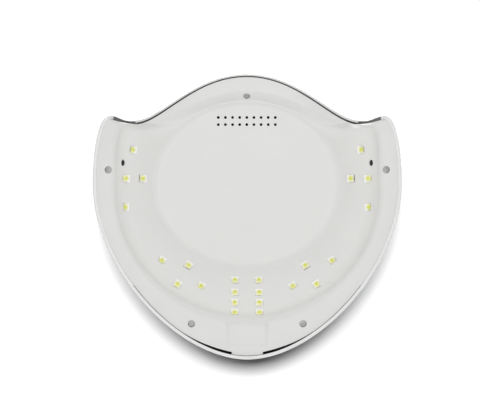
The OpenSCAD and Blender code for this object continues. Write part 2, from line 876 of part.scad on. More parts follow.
module button_bezel() {
  color(plastic_black) on_panel() difference() {
    translate([0, 0, bezel_bottom])
      linear_extrude(height = bezel_thickness) bezel_outline(0);
    for (x = key_columns) {
      translate([x, key_y, bezel_bottom - 1])
        cylinder(d = key_diameter + 2 * key_gap, h = bezel_thickness + 2, $fn = round_facets);
      translate([x, key_y, bezel_bottom - 1])
        cylinder(d = key_diameter + 2 * key_flange_reach + 2 * key_gap,
          h = bezel_thickness - bezel_web + 1, $fn = round_facets);
      translate([x, lens_y, bezel_bottom - 1])
        cylinder(d = lens_diameter + 2 * lens_gap, h = bezel_thickness + 2, $fn = 24);
    }
  }
}
module timer_key(column) {
  flange_top = bezel_top - bezel_web - key_slack;
  color([0.86, 0.86, 0.87]) on_panel() translate([column, key_y, 0]) {
    translate([0, 0, flange_top - key_flange])
      cylinder(d = key_diameter + 2 * key_flange_reach, h = key_flange, $fn = round_facets);
    translate([0, 0, flange_top - eps])
      cylinder(d = key_diameter, h = bezel_top + key_rise - flange_top + eps, $fn = round_facets);
    translate([0, 0, key_post_end])
      cylinder(d = key_post, h = flange_top - key_flange - key_post_end + eps, $fn = round_facets);
  }
}
module switch_stem_at(column) {
  color(plastic_black) on_panel()
    translate([column, key_y, switch_top - stem_depth])
      cylinder(d = switch_stem, h = key_post_end - switch_top + stem_depth, $fn = round_facets);
}
module key_left() {
  timer_key(-key_pitch);
}
module key_middle() {
  timer_key(0);
}
module key_right() {
  timer_key(key_pitch);
}
module stem_left() {
  switch_stem_at(-key_pitch);
}
module stem_middle() {
  switch_stem_at(0);
}
module stem_right() {
  switch_stem_at(key_pitch);
}
module tact_switches() {
  room = stem_depth + key_travel + stem_room;
  color(metal_grey) on_panel() for (x = key_columns) {
    translate([x, key_y, 0]) difference() {
      translate([-switch_size / 2, -switch_size / 2, key_board_top])
        cube([switch_size, switch_size, switch_height]);
      translate([0, 0, switch_top - room])
        cylinder(d = switch_stem + 2 * key_gap, h = room + 1, $fn = round_facets);
    }
  }
}
module key_board() {
  color(board_green) on_panel() difference() {
    rounded_slab(
      -key_board_length / 2, -key_board_width / 2 - 1, key_board_length / 2, key_board_width / 2 - 1,
      board_corner, key_board_top - board_thickness, board_thickness
    );
    for (x = [-key_board_post_x, key_board_post_x]) {
      translate([x, 0, key_board_top - board_thickness - 1])
        cylinder(d = board_screw_hole, h = board_thickness + 2, $fn = round_facets);
    }
  }
}
module key_board_screws() {
  color(metal_grey) on_panel() for (x = [-key_board_post_x, key_board_post_x]) {
    translate([x, 0, key_board_top - board_thickness - board_screw_head_height])
      cylinder(d = board_screw_head, h = board_screw_head_height, $fn = round_facets);
    translate([x, 0, key_board_top - board_thickness - eps])
      cylinder(d = board_screw_shank, h = board_screw_length + eps, $fn = round_facets);
  }
}
module indicator_leds() {
  color([0.95, 0.95, 0.9]) on_panel() for (x = key_columns) {
    translate([x - indicator_size / 2, lens_y - indicator_size / 2, key_board_top])
      cube([indicator_size, indicator_size, indicator_height]);
  }
}
module indicator_lenses() {
  low = key_board_top + indicator_height + 0.1;
  color([0.8, 0.88, 0.95, 0.6]) on_panel() for (x = key_columns) {
    translate([x, lens_y, low])
      cylinder(d = lens_diameter, h = bezel_top + 0.2 - low, $fn = 24);
  }
}

module power_socket() {
  color(plastic_black) on_jack() difference() {
    union() {
      cylinder(d = jack_collar, h = jack_collar_depth, $fn = round_facets);
      translate([0, 0, -jack_length])
        cylinder(d = jack_barrel, h = jack_length + eps, $fn = round_facets);
    }
    translate([0, 0, jack_pin_start])
      cylinder(d = jack_mouth, h = jack_mouth_depth + 1, $fn = round_facets);
    translate([0, 0, -jack_length - 1])
      cylinder(d = jack_pin_base + 0.04, h = jack_length, $fn = round_facets);
  }
}
module socket_pin() {
  tail = 2;
  color(copper_tone) on_jack() {
    translate([0, 0, -jack_length - tail])
      cylinder(d = jack_pin_base, h = jack_length + tail + jack_pin_start, $fn = round_facets);
    translate([0, 0, jack_pin_start - eps])
      cylinder(d = jack_pin, h = jack_pin_end - jack_pin_start + eps, $fn = round_facets);
  }
}
module socket_nut() {
  color(metal_grey) on_jack()
    translate([0, 0, -jack_pad_wall - jack_nut_height]) difference() {
      cylinder(d = jack_nut_width, h = jack_nut_height, $fn = 6);
      translate([0, 0, -1])
        cylinder(d = jack_barrel + 2 * jack_fit, h = jack_nut_height + 2, $fn = round_facets);
    }
}
module socket_lug() {
  lug_width = 1.6;
  lug_thickness = 0.5;
  color(copper_tone) on_jack()
    translate([jack_barrel / 2 - 1.6, -lug_width / 2, -jack_length - jack_lug_length])
      cube([lug_thickness, lug_width, jack_lug_length]);
}

module control_board() {
  color(board_green) difference() {
    translate([0, control_y, 0])
      rounded_slab(
        -control_width / 2, -control_length / 2, control_width / 2, control_length / 2,
        board_corner, control_z, board_thickness
      );
    at_control_holes()
      translate([0, 0, -1]) cylinder(d = board_screw_hole, h = board_thickness + 2, $fn = round_facets);
  }
}
module control_screws() {
  color(metal_grey) at_control_holes() {
    translate([0, 0, board_thickness])
      cylinder(d = board_screw_head, h = board_screw_head_height, $fn = round_facets);
    translate([0, 0, board_thickness - board_screw_length])
      cylinder(d = board_screw_shank, h = board_screw_length + eps, $fn = round_facets);
  }
}
module driver_chips() {
  chip = [10, 6.2, 1.7];
  color(plastic_black) for (x = [-14, 8]) {
    translate([x, control_y - 4, control_top]) cube(chip);
  }
}
module power_coil() {
  color([0.16, 0.16, 0.17]) translate([22, control_y + 8, control_top]) {
    cylinder(d = 10, h = 1, $fn = round_facets);
    translate([0, 0, 1 - eps]) cylinder(d = 7, h = 4 + 2 * eps, $fn = round_facets);
    translate([0, 0, 5]) cylinder(d = 10, h = 1, $fn = round_facets);
  }
}
module filter_capacitors() {
  color(metal_grey) for (y = [-10, 2]) {
    translate([-27, control_y + y, control_top]) cylinder(d = 8, h = 12, $fn = round_facets);
  }
}
module header_box(x, y) {
  translate([x - header_size[0] / 2, y - header_size[1] / 2, control_top]) cube(header_size);
}
header_x = control_width / 2 - header_size[0] / 2 - header_inset;
header_rear_y = control_y + control_length / 2 - header_size[1] / 2 - header_inset;
header_front_y = control_y - control_length / 2 + header_size[1] / 2 + header_inset;
module wire_headers() {
  color([0.92, 0.9, 0.84]) {
    for (x = [-header_x, header_x]) {
      for (y = side_header_y) {
        header_box(x, y);
      }
    }
    for (x = rear_header_x) {
      header_box(x, header_rear_y);
    }
    header_box(0, header_front_y);
  }
}

// A lead is a round strand along a curve; its ends lie flat against what they join.
lead_sides = 8;
lead_steps = 9;
function strand_ring(p, t, shape) =
  let (
    here = bezier(p, t),
    ahead = unit(bezier(p, min(1, t + 0.01)) - bezier(p, max(0, t - 0.01))),
    way = t < 0.01 ? unit(p[1] - p[0]) : t > 0.99 ? unit(p[3] - p[2]) : ahead,
    across = unit(cross(shape[2], way)),
    over = cross(way, across)
  )
  [for (q = shape[0]) here + q[0] * across + q[1] * over];
module strand(p, outline, reference) {
  shape = [outline, 0, reference];
  skin([for (k = [0 : lead_steps]) strand_ring(p, k / lead_steps, shape)], p[0], p[3]);
}
round_strand = [for (k = [0 : lead_sides - 1])
  lead_diameter / 2 * [cos(360 * k / lead_sides), sin(360 * k / lead_sides)]];
ribbon_width = 8;
ribbon_thickness = 0.6;
ribbon_strand = [
  [-ribbon_width / 2, -ribbon_thickness / 2], [ribbon_width / 2, -ribbon_thickness / 2],
  [ribbon_width / 2, ribbon_thickness / 2], [-ribbon_width / 2, ribbon_thickness / 2]
];
lead_z = control_top + 3;
lead_spread = 1.1;
start_pull = 13;
end_pull = 12;
function on_board(i, shift, x, y) = wall_point(i, shift, x, y, board_back);
function wall_lead(start, way, i, shift, x, y) =
  let (finish = on_board(i, shift, x, y))
  [start, start + start_pull * way, finish - end_pull * wall_axes(i)[2], finish];
function side_lead(k) =
  wall_lead([header_x + header_size[0] / 2, side_header_y[0] + k * lead_spread, lead_z],
    [1, 0, 0], side_index, side_shift, -5 - 1.6 * k, 1);
function rear_side_lead(k) =
  wall_lead([header_x + header_size[0] / 2, side_header_y[1] + k * lead_spread, lead_z],
    [1, 0, 0], rear_side_index, rear_side_shift, 3 - 1.6 * k, 1);
function rear_lead(k) =
  wall_lead([rear_header_x[0] + k * lead_spread, header_rear_y + header_size[1] / 2, lead_z],
    [0, 1, 0], rear_index, rear_shift, -4 + 1.6 * k, 9);
lug_top = jack_height + 0.8;
pin_top = jack_height + jack_pin_base / 2;
lug_x = jack_barrel / 2 - 1.35;
lug_y = jack_face - jack_length - 2.6;
tail_y = jack_face - jack_length - 1;
function socket_lead(x, y, z, k) = [
  [rear_header_x[1] + k * lead_spread, header_rear_y + header_size[1] / 2, lead_z],
  [rear_header_x[1] + k * lead_spread, header_rear_y + header_size[1] / 2 + 22, lead_z],
  [x, y, z + 22],
  [x, y, z]
];
module board_leads(k) {
  for (side = [0, 1]) {
    mirror([side, 0, 0]) {
      strand(side_lead(k), round_strand, [0, 1, 0]);
      strand(rear_side_lead(k), round_strand, [-0.6, 0.8, 0]);
    }
  }
  strand(rear_lead(k), round_strand, [1, 0, 0]);
}
module red_leads() {
  color([0.72, 0.1, 0.08]) {
    board_leads(1);
    strand(socket_lead(0, tail_y, pin_top, -1), round_strand, [1, 0, 0]);
  }
}
module black_leads() {
  color(plastic_black) {
    board_leads(-1);
    strand(socket_lead(lug_x, lug_y, lug_top, 1), round_strand, [1, 0, 0]);
  }
}
function on_panel_point(y, z) = [
  0,
  panel_y + y * cos(panel_tilt) - z * sin(panel_tilt),
  panel_z + y * sin(panel_tilt) + z * cos(panel_tilt)
];
module key_ribbon() {
  board_under = key_board_top - board_thickness;
  color([0.75, 0.75, 0.72])
    strand(
      [
        [0, header_front_y - header_size[1] / 2, lead_z],
        [0, header_front_y - header_size[1] / 2 - 10, lead_z],
        on_panel_point(3, board_under - 7),
        on_panel_point(3, board_under)
      ],
      ribbon_strand, [0, 0, 1]
    );
}

outer_shell();
inner_liner();
case_screws();
led_board_left();
led_board_right();
led_board_rear_left();
led_board_rear_right();
led_board_rear();
leds_left();
leds_right();
leds_rear_left();
leds_rear_right();
leds_rear();
led_board_screws();
ir_emitter();
ir_receiver();
button_bezel();
key_left();
key_middle();
key_right();
stem_left();
stem_middle();
stem_right();
tact_switches();
key_board();
key_board_screws();
indicator_leds();
indicator_lenses();
power_socket();
socket_pin();
socket_nut();
socket_lug();
control_board();
control_screws();
driver_chips();
power_coil();
filter_capacitors();
wire_headers();
red_leads();
black_leads();
key_ribbon();
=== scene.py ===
"""Nail curing lamp: smooth shells, lights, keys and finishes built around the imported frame.

Construction sizes are in millimetres, in the frame's own axes: +X right, +Y to the closed rear, +Z up.
They become metres when a mesh is made.
"""

import logging
import math
from dataclasses import dataclass
from enum import Enum
from functools import cached_property
from typing import Any, Sequence

import bmesh
import bpy
import numpy as np
from mathutils import Matrix, Vector
from mathutils.bvhtree import BVHTree
from mathutils.kdtree import KDTree


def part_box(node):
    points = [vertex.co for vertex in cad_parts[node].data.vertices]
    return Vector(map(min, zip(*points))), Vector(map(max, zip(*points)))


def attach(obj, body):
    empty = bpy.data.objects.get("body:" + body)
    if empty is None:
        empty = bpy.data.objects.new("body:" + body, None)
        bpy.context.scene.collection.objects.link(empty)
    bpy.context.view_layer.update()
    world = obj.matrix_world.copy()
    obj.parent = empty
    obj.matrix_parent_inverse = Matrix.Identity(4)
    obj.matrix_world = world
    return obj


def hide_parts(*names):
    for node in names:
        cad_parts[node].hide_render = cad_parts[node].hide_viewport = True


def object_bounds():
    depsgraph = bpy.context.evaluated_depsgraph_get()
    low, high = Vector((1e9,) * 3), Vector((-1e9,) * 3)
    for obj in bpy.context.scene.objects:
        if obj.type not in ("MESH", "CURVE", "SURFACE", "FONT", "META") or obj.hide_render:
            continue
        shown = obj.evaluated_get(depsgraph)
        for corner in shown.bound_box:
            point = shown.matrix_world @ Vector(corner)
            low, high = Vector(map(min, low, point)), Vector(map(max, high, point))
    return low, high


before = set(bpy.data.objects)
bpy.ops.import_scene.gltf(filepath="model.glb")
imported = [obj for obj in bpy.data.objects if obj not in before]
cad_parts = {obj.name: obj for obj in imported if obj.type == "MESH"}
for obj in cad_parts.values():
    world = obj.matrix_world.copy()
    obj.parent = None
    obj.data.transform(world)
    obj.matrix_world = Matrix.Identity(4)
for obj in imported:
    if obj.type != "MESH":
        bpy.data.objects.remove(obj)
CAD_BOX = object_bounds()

LOG = logging.getLogger("nail_lamp")
MM = 0.001
BODY = "lamp"
Colour = tuple[float, float, float]
Points = np.ndarray
UP = np.array([0.0, 0.0, 1.0])
HERE = Matrix.Identity(4)

# Distances in metres under which points are merged and edges are dropped.
MERGE_DISTANCE = 1e-7
SMALLEST_EDGE = 1e-8
SEAM_DISTANCE = 2e-6

# The part of a noise factor's range that holds most of its values.
NOISE_MIDDLE = (0.3, 0.7)

# The largest rounding of a corner as a share of its shorter side, and how many
# points the rounding of a turned piece has.
LARGEST_ROUNDING = 0.46
TURNED_SAMPLES = 6

# How far the posts and cups of the cover run into its wall, in millimetres.
COVER_SINK = 1.2


class Side(Enum):
    """Which side of the lamp a mirrored piece belongs to."""

    LEFT = -1
    RIGHT = 1


class Wall(Enum):
    """A light board's place on the chamber wall: its column in the coarse loops."""

    SIDE = 20
    REAR_SIDE = 7
    REAR = 0


@dataclass(frozen=True)
class Grain:
    """A moulded face's range of roughness, and the size and depth of its grain in millimetres."""

    smoothest: float
    roughest: float
    size: float
    depth: float


class Surface(Enum):
    """How a moulded plastic face is textured."""

    POLISHED = Grain(0.18, 0.25, 6.0, 0.003)
    SATIN = Grain(0.36, 0.46, 0.35, 0.006)
    MATTE = Grain(0.55, 0.7, 0.3, 0.012)


# ---------------------------------------------------------------- node trees


class NodeGraph:
    """Short calls for building a shader tree or a geometry tree."""

    def __init__(self, tree: bpy.types.NodeTree) -> None:
        """Wraps a tree."""
        self.tree = tree

    @staticmethod
    def _socket(sockets: Any, key: str | int) -> bpy.types.NodeSocket:
        """Finds a socket by place or by name, skipping the hidden ones of that name.

        Args:
            sockets: a node's inputs or outputs.
            key: the socket's place or name.

        Returns:
            The socket.
        """
        if isinstance(key, int):
            return sockets[key]
        return next(s for s in sockets if s.name == key and s.enabled)

    def add(self, kind: str, inputs: dict | None = None, **settings: Any) -> bpy.types.Node:
        """Adds a node.

        Args:
            kind: the node's type name.
            inputs: socket name or place to a value or another node's output.
            **settings: the node's own properties.

        Returns:
            The new node.
        """
        node = self.tree.nodes.new(kind)
        for name, value in settings.items():
            setattr(node, name, value)
        for key, value in (inputs or {}).items():
            self.feed(node, key, value)
        return node

    def feed(self, node: bpy.types.Node, key: str | int, value: Any) -> None:
        """Links or sets one input of a node.

        Args:
            node: the node that takes the value.
            key: the socket's name or place.
            value: a socket to link from, or a plain value.
        """
        socket = self._socket(node.inputs, key)
        if isinstance(value, bpy.types.NodeSocket):
            self.tree.links.new(value, socket)
        else:
            socket.default_value = value

    def out(self, node: bpy.types.Node, key: str | int = 0) -> bpy.types.NodeSocket:
        """Gives one output of a node."""
        return self._socket(node.outputs, key)

    def math(self, operation: str, *values: Any) -> bpy.types.NodeSocket:
        """Adds a Math node and gives its result."""
        node = self.add("ShaderNodeMath", dict(enumerate(values)), operation=operation)
        return node.outputs[0]

    def vector(self, operation: str, *values: Any, scale: Any = None) -> bpy.types.NodeSocket:
        """Adds a Vector Math node and gives its vector.

        Args:
            operation: the node's operation.
            *values: its inputs, in order.
            scale: the factor, where the operation takes one.

        Returns:
            The resulting vector.
        """
        inputs = dict(enumerate(values))
        if scale is not None:
            inputs["Scale"] = scale
        node = self.add("ShaderNodeVectorMath", operation=operation)
        for key, value in inputs.items():
            self.feed(node, key, value)
        return node.outputs["Vector"]

    def split(self, vector: bpy.types.NodeSocket) -> Sequence[bpy.types.NodeSocket]:
        """Gives the three parts of a vector."""
        return self.add("ShaderNodeSeparateXYZ", {0: vector}).outputs

    def join(self, x: Any, y: Any, z: Any) -> bpy.types.NodeSocket:
        """Makes a vector from three parts."""
        return self.add("ShaderNodeCombineXYZ", {0: x, 1: y, 2: z}).outputs[0]

    def remap(self, value: Any, source: Sequence[float], target: Sequence[float],
              easing: str = "LINEAR") -> bpy.types.NodeSocket:
        """Maps a value from one range to another and holds it there.

        Args:
            value: the socket to map.
            source: the range that it comes from.
            target: the range that it goes to.
            easing: the Map Range node's interpolation.

        Returns:
            The mapped value.
        """
        inputs = {"Value": value, "From Min": source[0], "From Max": source[1]}
        inputs |= {"To Min": target[0], "To Max": target[1]}
        return self.out(self.add("ShaderNodeMapRange", inputs, interpolation_type=easing), 0)

    def choose(self, factor: Any, a: Any, b: Any) -> bpy.types.NodeSocket:
        """Gives value a where the factor is 1 and value b where it is 0.

        Args:
            factor: 0 or 1.
            a: the value for 1.
            b: the value for 0.

        Returns:
            The chosen value.
        """
        node = self.add("ShaderNodeMix", data_type="FLOAT")
        for key, value in (("Factor", factor), ("A", b), ("B", a)):
            self.feed(node, key, value)
        return self.out(node, "Result")


class ShaderGraph(NodeGraph):
    """A material with an empty tree, a surface output and the texture calls that the finishes share."""

    def __init__(self, name: str) -> None:
        """Makes the material.

        Args:
            name: the material's name.
        """
        self.material = bpy.data.materials.new(name)
        self.material.use_nodes = True
        super().__init__(self.material.node_tree)
        self.tree.nodes.clear()
        self.output = self.add("ShaderNodeOutputMaterial")

    @cached_property
    def place(self) -> bpy.types.NodeSocket:
        """The point in the frame, in metres."""
        return self.out(self.add("ShaderNodeTexCoord"), "Object")

    def noise(self, size_mm: float, detail: float = 2.0, rough: float = 0.5) -> bpy.types.NodeSocket:
        """A noise value."""
        inputs = {"Vector": self.place, "Scale": 1 / (size_mm * MM), "Detail": detail, "Roughness": rough}
        return self.out(self.add("ShaderNodeTexNoise", inputs), 0)

    def spread(self, value: Any, low: float, high: float) -> bpy.types.NodeSocket:
        """Maps a noise factor's middle part to a range."""
        return self.remap(value, NOISE_MIDDLE, (low, high))

    def blend(self, factor: Any, a: Colour, b: Colour) -> bpy.types.NodeSocket:
        """Mixes two colours by a factor.

        Args:
            factor: 0 for the first colour, 1 for the second.
            a: the first colour.
            b: the second colour.

        Returns:
            The mixed colour.
        """
        node = self.add("ShaderNodeMix", data_type="RGBA")
        self.feed(node, "Factor", factor)
        colours = [s for s in node.inputs if s.enabled and s.type == "RGBA"]
        for socket, colour in zip(colours, (a, b)):
            socket.default_value = (*colour, 1.0)
        return next(s for s in node.outputs if s.enabled and s.type == "RGBA")

    def relief(self, height: Any, depth_mm: float) -> bpy.types.NodeSocket:
        """A bump of a given depth."""
        inputs = {"Height": height, "Distance": depth_mm * MM, "Strength": 1.0}
        return self.out(self.add("ShaderNodeBump", inputs), 0)

    def surface(self, inputs: dict) -> bpy.types.Material:
        """Ends the material in one Principled shader.

        Args:
            inputs: the shader's socket names to values or sockets.

        Returns:
            The finished material.
        """
        shader = self.add("ShaderNodeBsdfPrincipled", inputs)
        self.feed(self.output, "Surface", shader.outputs[0])
        return self.material


class GeometryGraph(NodeGraph):
    """A Geometry Nodes tree with named inputs, run once on a mesh."""

    def __init__(self, name: str) -> None:
        """Makes an empty tree with a geometry input and a geometry output.

        Args:
            name: the tree's name.
        """
        super().__init__(bpy.data.node_groups.new(name, "GeometryNodeTree"))
        self.name = name
        self._declare("Geometry", "INPUT", "Geometry")
        self._declare("Geometry", "OUTPUT", "Geometry")
        self.given = self.add("NodeGroupInput")
        self.result = self.add("NodeGroupOutput")

    def _declare(self, name: str, way: str, kind: str) -> Any:
        """Adds a socket to the tree's interface."""
        return self.tree.interface.new_socket(name, in_out=way, socket_type=f"NodeSocket{kind}")

    def input(self, name: str, kind: str = "Float") -> bpy.types.NodeSocket:
        """Declares a named input and gives its socket inside the tree."""
        self._declare(name, "INPUT", kind)
        return self.given.outputs[name]

    def attribute(self, name: str, kind: str = "FLOAT_VECTOR") -> bpy.types.NodeSocket:
        """Reads a named attribute."""
        node = self.add("GeometryNodeInputNamedAttribute", {"Name": name}, data_type=kind)
        return self.out(node, "Attribute")

    def model(self, piece: bpy.types.NodeSocket) -> bpy.types.NodeSocket:
        """Reads an object's geometry in its own axes."""
        node = self.add("GeometryNodeObjectInfo", {"Object": piece}, transform_space="ORIGINAL")
        return self.out(node, "Geometry")

    def end(self, geometry: bpy.types.NodeSocket, finish: bpy.types.NodeSocket) -> None:
        """Ends the tree in Realize Instances and Set Material.

        Args:
            geometry: what the tree has made.
            finish: the material that it gets.
        """
        real = self.out(self.add("GeometryNodeRealizeInstances", {"Geometry": geometry}), "Geometry")
        dressed = self.add("GeometryNodeSetMaterial", {"Geometry": real, "Material": finish})
        self.feed(self.result, "Geometry", dressed.outputs[0])

    def run(self, source: bpy.types.Object, name: str, **values: Any) -> bpy.types.Object:
        """Runs the tree on an object and keeps the result as a plain mesh.

        Args:
            source: the object that carries the points; it is removed.
            name: the new piece's name.
            **values: the tree's inputs by name, with _ for a space.

        Returns:
            An object with the finished mesh and no modifier.
        """
        modifier = source.modifiers.new(self.name, "NODES")
        modifier.node_group = self.tree
        for item in self.tree.interface.items_tree:
            key = item.name.replace(" ", "_").lower()
            if item.in_out == "INPUT" and key in values:
                modifier[item.identifier] = values[key]
        result = flatten(source, name)
        discard(source)
        return result


# ---------------------------------------------------------------- mesh helpers


def place_object(name: str, data: bpy.types.ID) -> bpy.types.Object:
    """Links a mesh, a curve, a lamp or a camera to the scene at the origin.

    Args:
        name: the object's name, which its data also gets.
        data: the mesh, curve, lamp or camera.

    Returns:
        The new object.
    """
    data.name = name
    piece = bpy.data.objects.new(name, data)
    bpy.context.scene.collection.objects.link(piece)
    return piece


def place_points(name: str, places: Sequence, **attributes: Any) -> bpy.types.Object:
    """Makes an object of bare points that carry named values for a geometry tree.

    Args:
        name: the object's name.
        places: the points, in metres.
        **attributes: for each name, a number or a vector for every point.

    Returns:
        The new object.
    """
    mesh = bpy.data.meshes.new(name)
    mesh.from_pydata(places, [], [])
    for label, values in attributes.items():
        rows = np.asarray(values, float)
        kind, key = ("FLOAT_VECTOR", "vector") if rows.ndim == 2 else ("FLOAT", "value")
        mesh.attributes.new(label, kind, "POINT").data.foreach_set(key, rows.ravel())
    return place_object(name, mesh)


def discard(*pieces: bpy.types.Object) -> None:
    """Removes helper objects with their meshes.

    Args:
        *pieces: the objects to remove.
    """
    for piece in pieces:
        data = piece.data
        bpy.data.objects.remove(piece)
        if isinstance(data, bpy.types.Mesh) and data.users == 0:
            bpy.data.meshes.remove(data)


def flatten(source: bpy.types.Object, name: str) -> bpy.types.Object:
    """Copies an object with its modifiers applied.

    Args:
        source: the object to evaluate.
        name: the copy's name.

    Returns:
        A new object with a plain mesh.
    """
    bpy.context.view_layer.update()
    graph = bpy.context.evaluated_depsgraph_get()
    mesh = bpy.data.meshes.new_from_object(source.evaluated_get(graph))
    return place_object(name, mesh)


def flatten_curve(curve: bpy.types.Curve, name: str) -> bpy.types.Object:
    """Turns a curve or a text into an object with a plain mesh.

    Args:
        curve: the curve or text.
        name: the object's name.

    Returns:
        The new object.
    """
    holder = place_object(curve.name, curve)
    piece = flatten(holder, name)
    discard(holder)
    return piece


def make_mesh(name: str, points: Points, faces: Sequence[Sequence[int]]) -> bpy.types.Object:
    """Makes an object from points in millimetres.

    Args:
        name: the object's name.
        points: rows of x, y, z.
        faces: corner numbers of each face.

    Returns:
        The new object, merged and with its faces outwards.
    """
    mesh = bpy.data.meshes.new(name)
    mesh.from_pydata((np.asarray(points, float) * MM).tolist(), [], [list(f) for f in faces])
    tidy(mesh)
    return place_object(name, mesh)


def tidy(mesh: bpy.types.Mesh) -> None:
    """Merges doubles and turns a closed mesh's faces outwards, keeping its inner walls inwards.

    Args:
        mesh: the mesh, which is changed in place.
    """
    work = bmesh.new()
    work.from_mesh(mesh)
    bmesh.ops.remove_doubles(work, verts=work.verts, dist=MERGE_DISTANCE)
    bmesh.ops.dissolve_degenerate(work, edges=work.edges, dist=SMALLEST_EDGE)
    if work.calc_volume(signed=True) < 0:
        bmesh.ops.reverse_faces(work, faces=work.faces)
    work.to_mesh(mesh)
    work.free()


def smooth(piece: bpy.types.Object, angle: float = 35.0) -> bpy.types.Object:
    """Shades a piece smooth, with edges over the angle left sharp.

    Args:
        piece: the object.
        angle: the limit in degrees.

    Returns:
        The same object.
    """
    mesh = piece.data
    mesh.polygons.foreach_set("use_smooth", [True] * len(mesh.polygons))
    work = bmesh.new()
    work.from_mesh(mesh)
    limit = math.radians(angle)
    for edge in work.edges:
        edge.smooth = len(edge.link_faces) == 2 and edge.calc_face_angle(0.0) < limit
    work.to_mesh(mesh)
    work.free()
    return piece


@dataclass(frozen=True)
class PaintedShadeLimits:
    """Where a shell's painted shade starts: least shares of a face's normal, then heights and depths.

    A depth is the distance from the rim, in millimetres, up to which a face is left without the painted
    shade.
    """

    liner_facing: float = 0.12
    liner_rise: float = 0.25
    cover_facing: float = 0.4
    rear_share: float = 0.5
    arch_height: float = 6.0
    arch_depth: float = 0.5
    rear_depth: float = 1.4
    side_depth: float = 3.6


def mark_painted_shade(piece: bpy.types.Object, centre: Points, outwards: bool) -> None:
    """Marks a shell's faces that look at the other moulding, for painted shade that darkens the gap between
    them.

    Faces close to the rim are left out, and so are faces of the liner that don't look upwards.

    Args:
        piece: the shell.
        centre: a point that the shell bends round, in millimetres.
        outwards: whether the marked side looks away from that point, as the liner's does.
    """
    mesh, limits = piece.data, PaintedShadeLimits()
    count = len(mesh.polygons)
    places, normals = np.empty(3 * count), np.empty(3 * count)
    mesh.polygons.foreach_get("center", places)
    mesh.polygons.foreach_get("normal", normals)
    spots, normals = places.reshape(-1, 3), normals.reshape(-1, 3)
    away = spots - centre * MM
    away /= np.linalg.norm(away, axis=1, keepdims=True)
    facing = np.einsum("ij,ij->i", away, normals)
    rises = normals[:, 2] > limits.liner_rise
    faces_it = (facing > limits.liner_facing) & rises if outwards else facing < -limits.cover_facing
    rim = KDTree(len(FINE.edge))
    for k, point in enumerate(FINE.edge * MM):
        rim.insert(point, k)
    rim.balance()
    depth = np.array([rim.find(spot)[2] for spot in spots])
    at_rear = spots[:, 1] > limits.rear_share * FINE.half_depth * MM
    at_arch = spots[:, 2] > limits.arch_height * MM
    bright = np.select([at_arch, at_rear], [limits.arch_depth, limits.rear_depth], limits.side_depth)
    # Painted shade: faces that look at the other moulding, away from the rim, are marked to be darkened.
    hidden = faces_it & (depth > bright * MM)
    mesh.attributes.new("hidden", "FLOAT", "FACE").data.foreach_set("value", hidden.astype(float))


def join(name: str, *pieces: bpy.types.Object) -> bpy.types.Object:
    """Joins closed meshes into one piece and removes the originals.

    Args:
        name: the new piece's name.
        *pieces: objects at the origin.

    Returns:
        The joined object.
    """
    work = bmesh.new()
    for piece in pieces:
        work.from_mesh(piece.data)
    mesh = bpy.data.meshes.new(name)
    work.to_mesh(mesh)
    work.free()
    discard(*pieces)
    return place_object(name, mesh)


def cut(piece: bpy.types.Object, cutter: bpy.types.Object, name: str) -> bpy.types.Object:
    """Cuts one closed mesh out of another and removes both originals.

    Args:
        piece: what is cut.
        cutter: what is taken away.
        name: the result's name.

    Returns:
        The cut object.
    """
    modifier = piece.modifiers.new("cut", "BOOLEAN")
    modifier.operation = "DIFFERENCE"
    modifier.solver = "EXACT"
    modifier.object = cutter
    result = flatten(piece, name)
    discard(piece, cutter)
    return result


def strip_faces(rows: int, columns: int) -> list[tuple[int, ...]]:
    """Quads of a grid of closed rows.

    Args:
        rows: rows in the grid.
        columns: points in each closed row.

    Returns:
        The corner numbers of each quad.
    """
    faces = []
    for start in range(0, (rows - 1) * columns, columns):
        for i in range(columns):
            after = (i + 1) % columns
            faces.append((start + i, start + after, start + columns + after, start + columns + i))
    return faces


def loft(name: str, rings: Points) -> bpy.types.Object:
    """A closed solid through rings, whose first and last ring are capped.

    Args:
        name: the object's name.
        rings: an array of rows, columns and x, y, z.

    Returns:
        The new object.
    """
    rows, columns = rings.shape[:2]
    last = (rows - 1) * columns
    caps = [tuple(range(columns))[::-1], tuple(range(last, last + columns))]
    return make_mesh(name, rings.reshape(-1, 3), strip_faces(rows, columns) + caps)


def rounded_path(path: Points, reach: Sequence[float], samples: int, fill: Sequence[int]) -> Points:
    """Rounds the corners of a path of points or of whole rows.

    Args:
        path: corners along the first axis, each of any shape that ends in x, y, z.
        reach: how far from each corner the rounding starts.
        samples: points in each rounding.
        fill: extra points on the straight after each corner.

    Returns:
        The rounded path, with the same shape after the first axis.
    """
    rows = [path[0]]
    last = path[0]
    for k in range(1, len(path)):
        corner = path[k]
        if k == len(path) - 1 or reach[k] <= 0:
            start, arc = corner, [corner]
        else:
            back, ahead = path[k - 1] - corner, path[k + 1] - corner
            back_length = np.linalg.norm(back, axis=-1, keepdims=True)
            ahead_length = np.linalg.norm(ahead, axis=-1, keepdims=True)
            size = np.minimum(reach[k], LARGEST_ROUNDING * np.minimum(back_length, ahead_length))
            start = corner + back / back_length * size
            stop = corner + ahead / ahead_length * size
            turns = np.linspace(0, 1, samples)
            arc = [(1 - t) ** 2 * start + 2 * t * (1 - t) * corner + t * t * stop for t in turns]
        extra = fill[k - 1] + 1
        rows += [last + (start - last) * m / extra for m in range(1, extra)]
        rows += arc
        last = rows[-1]
    return np.array(rows)


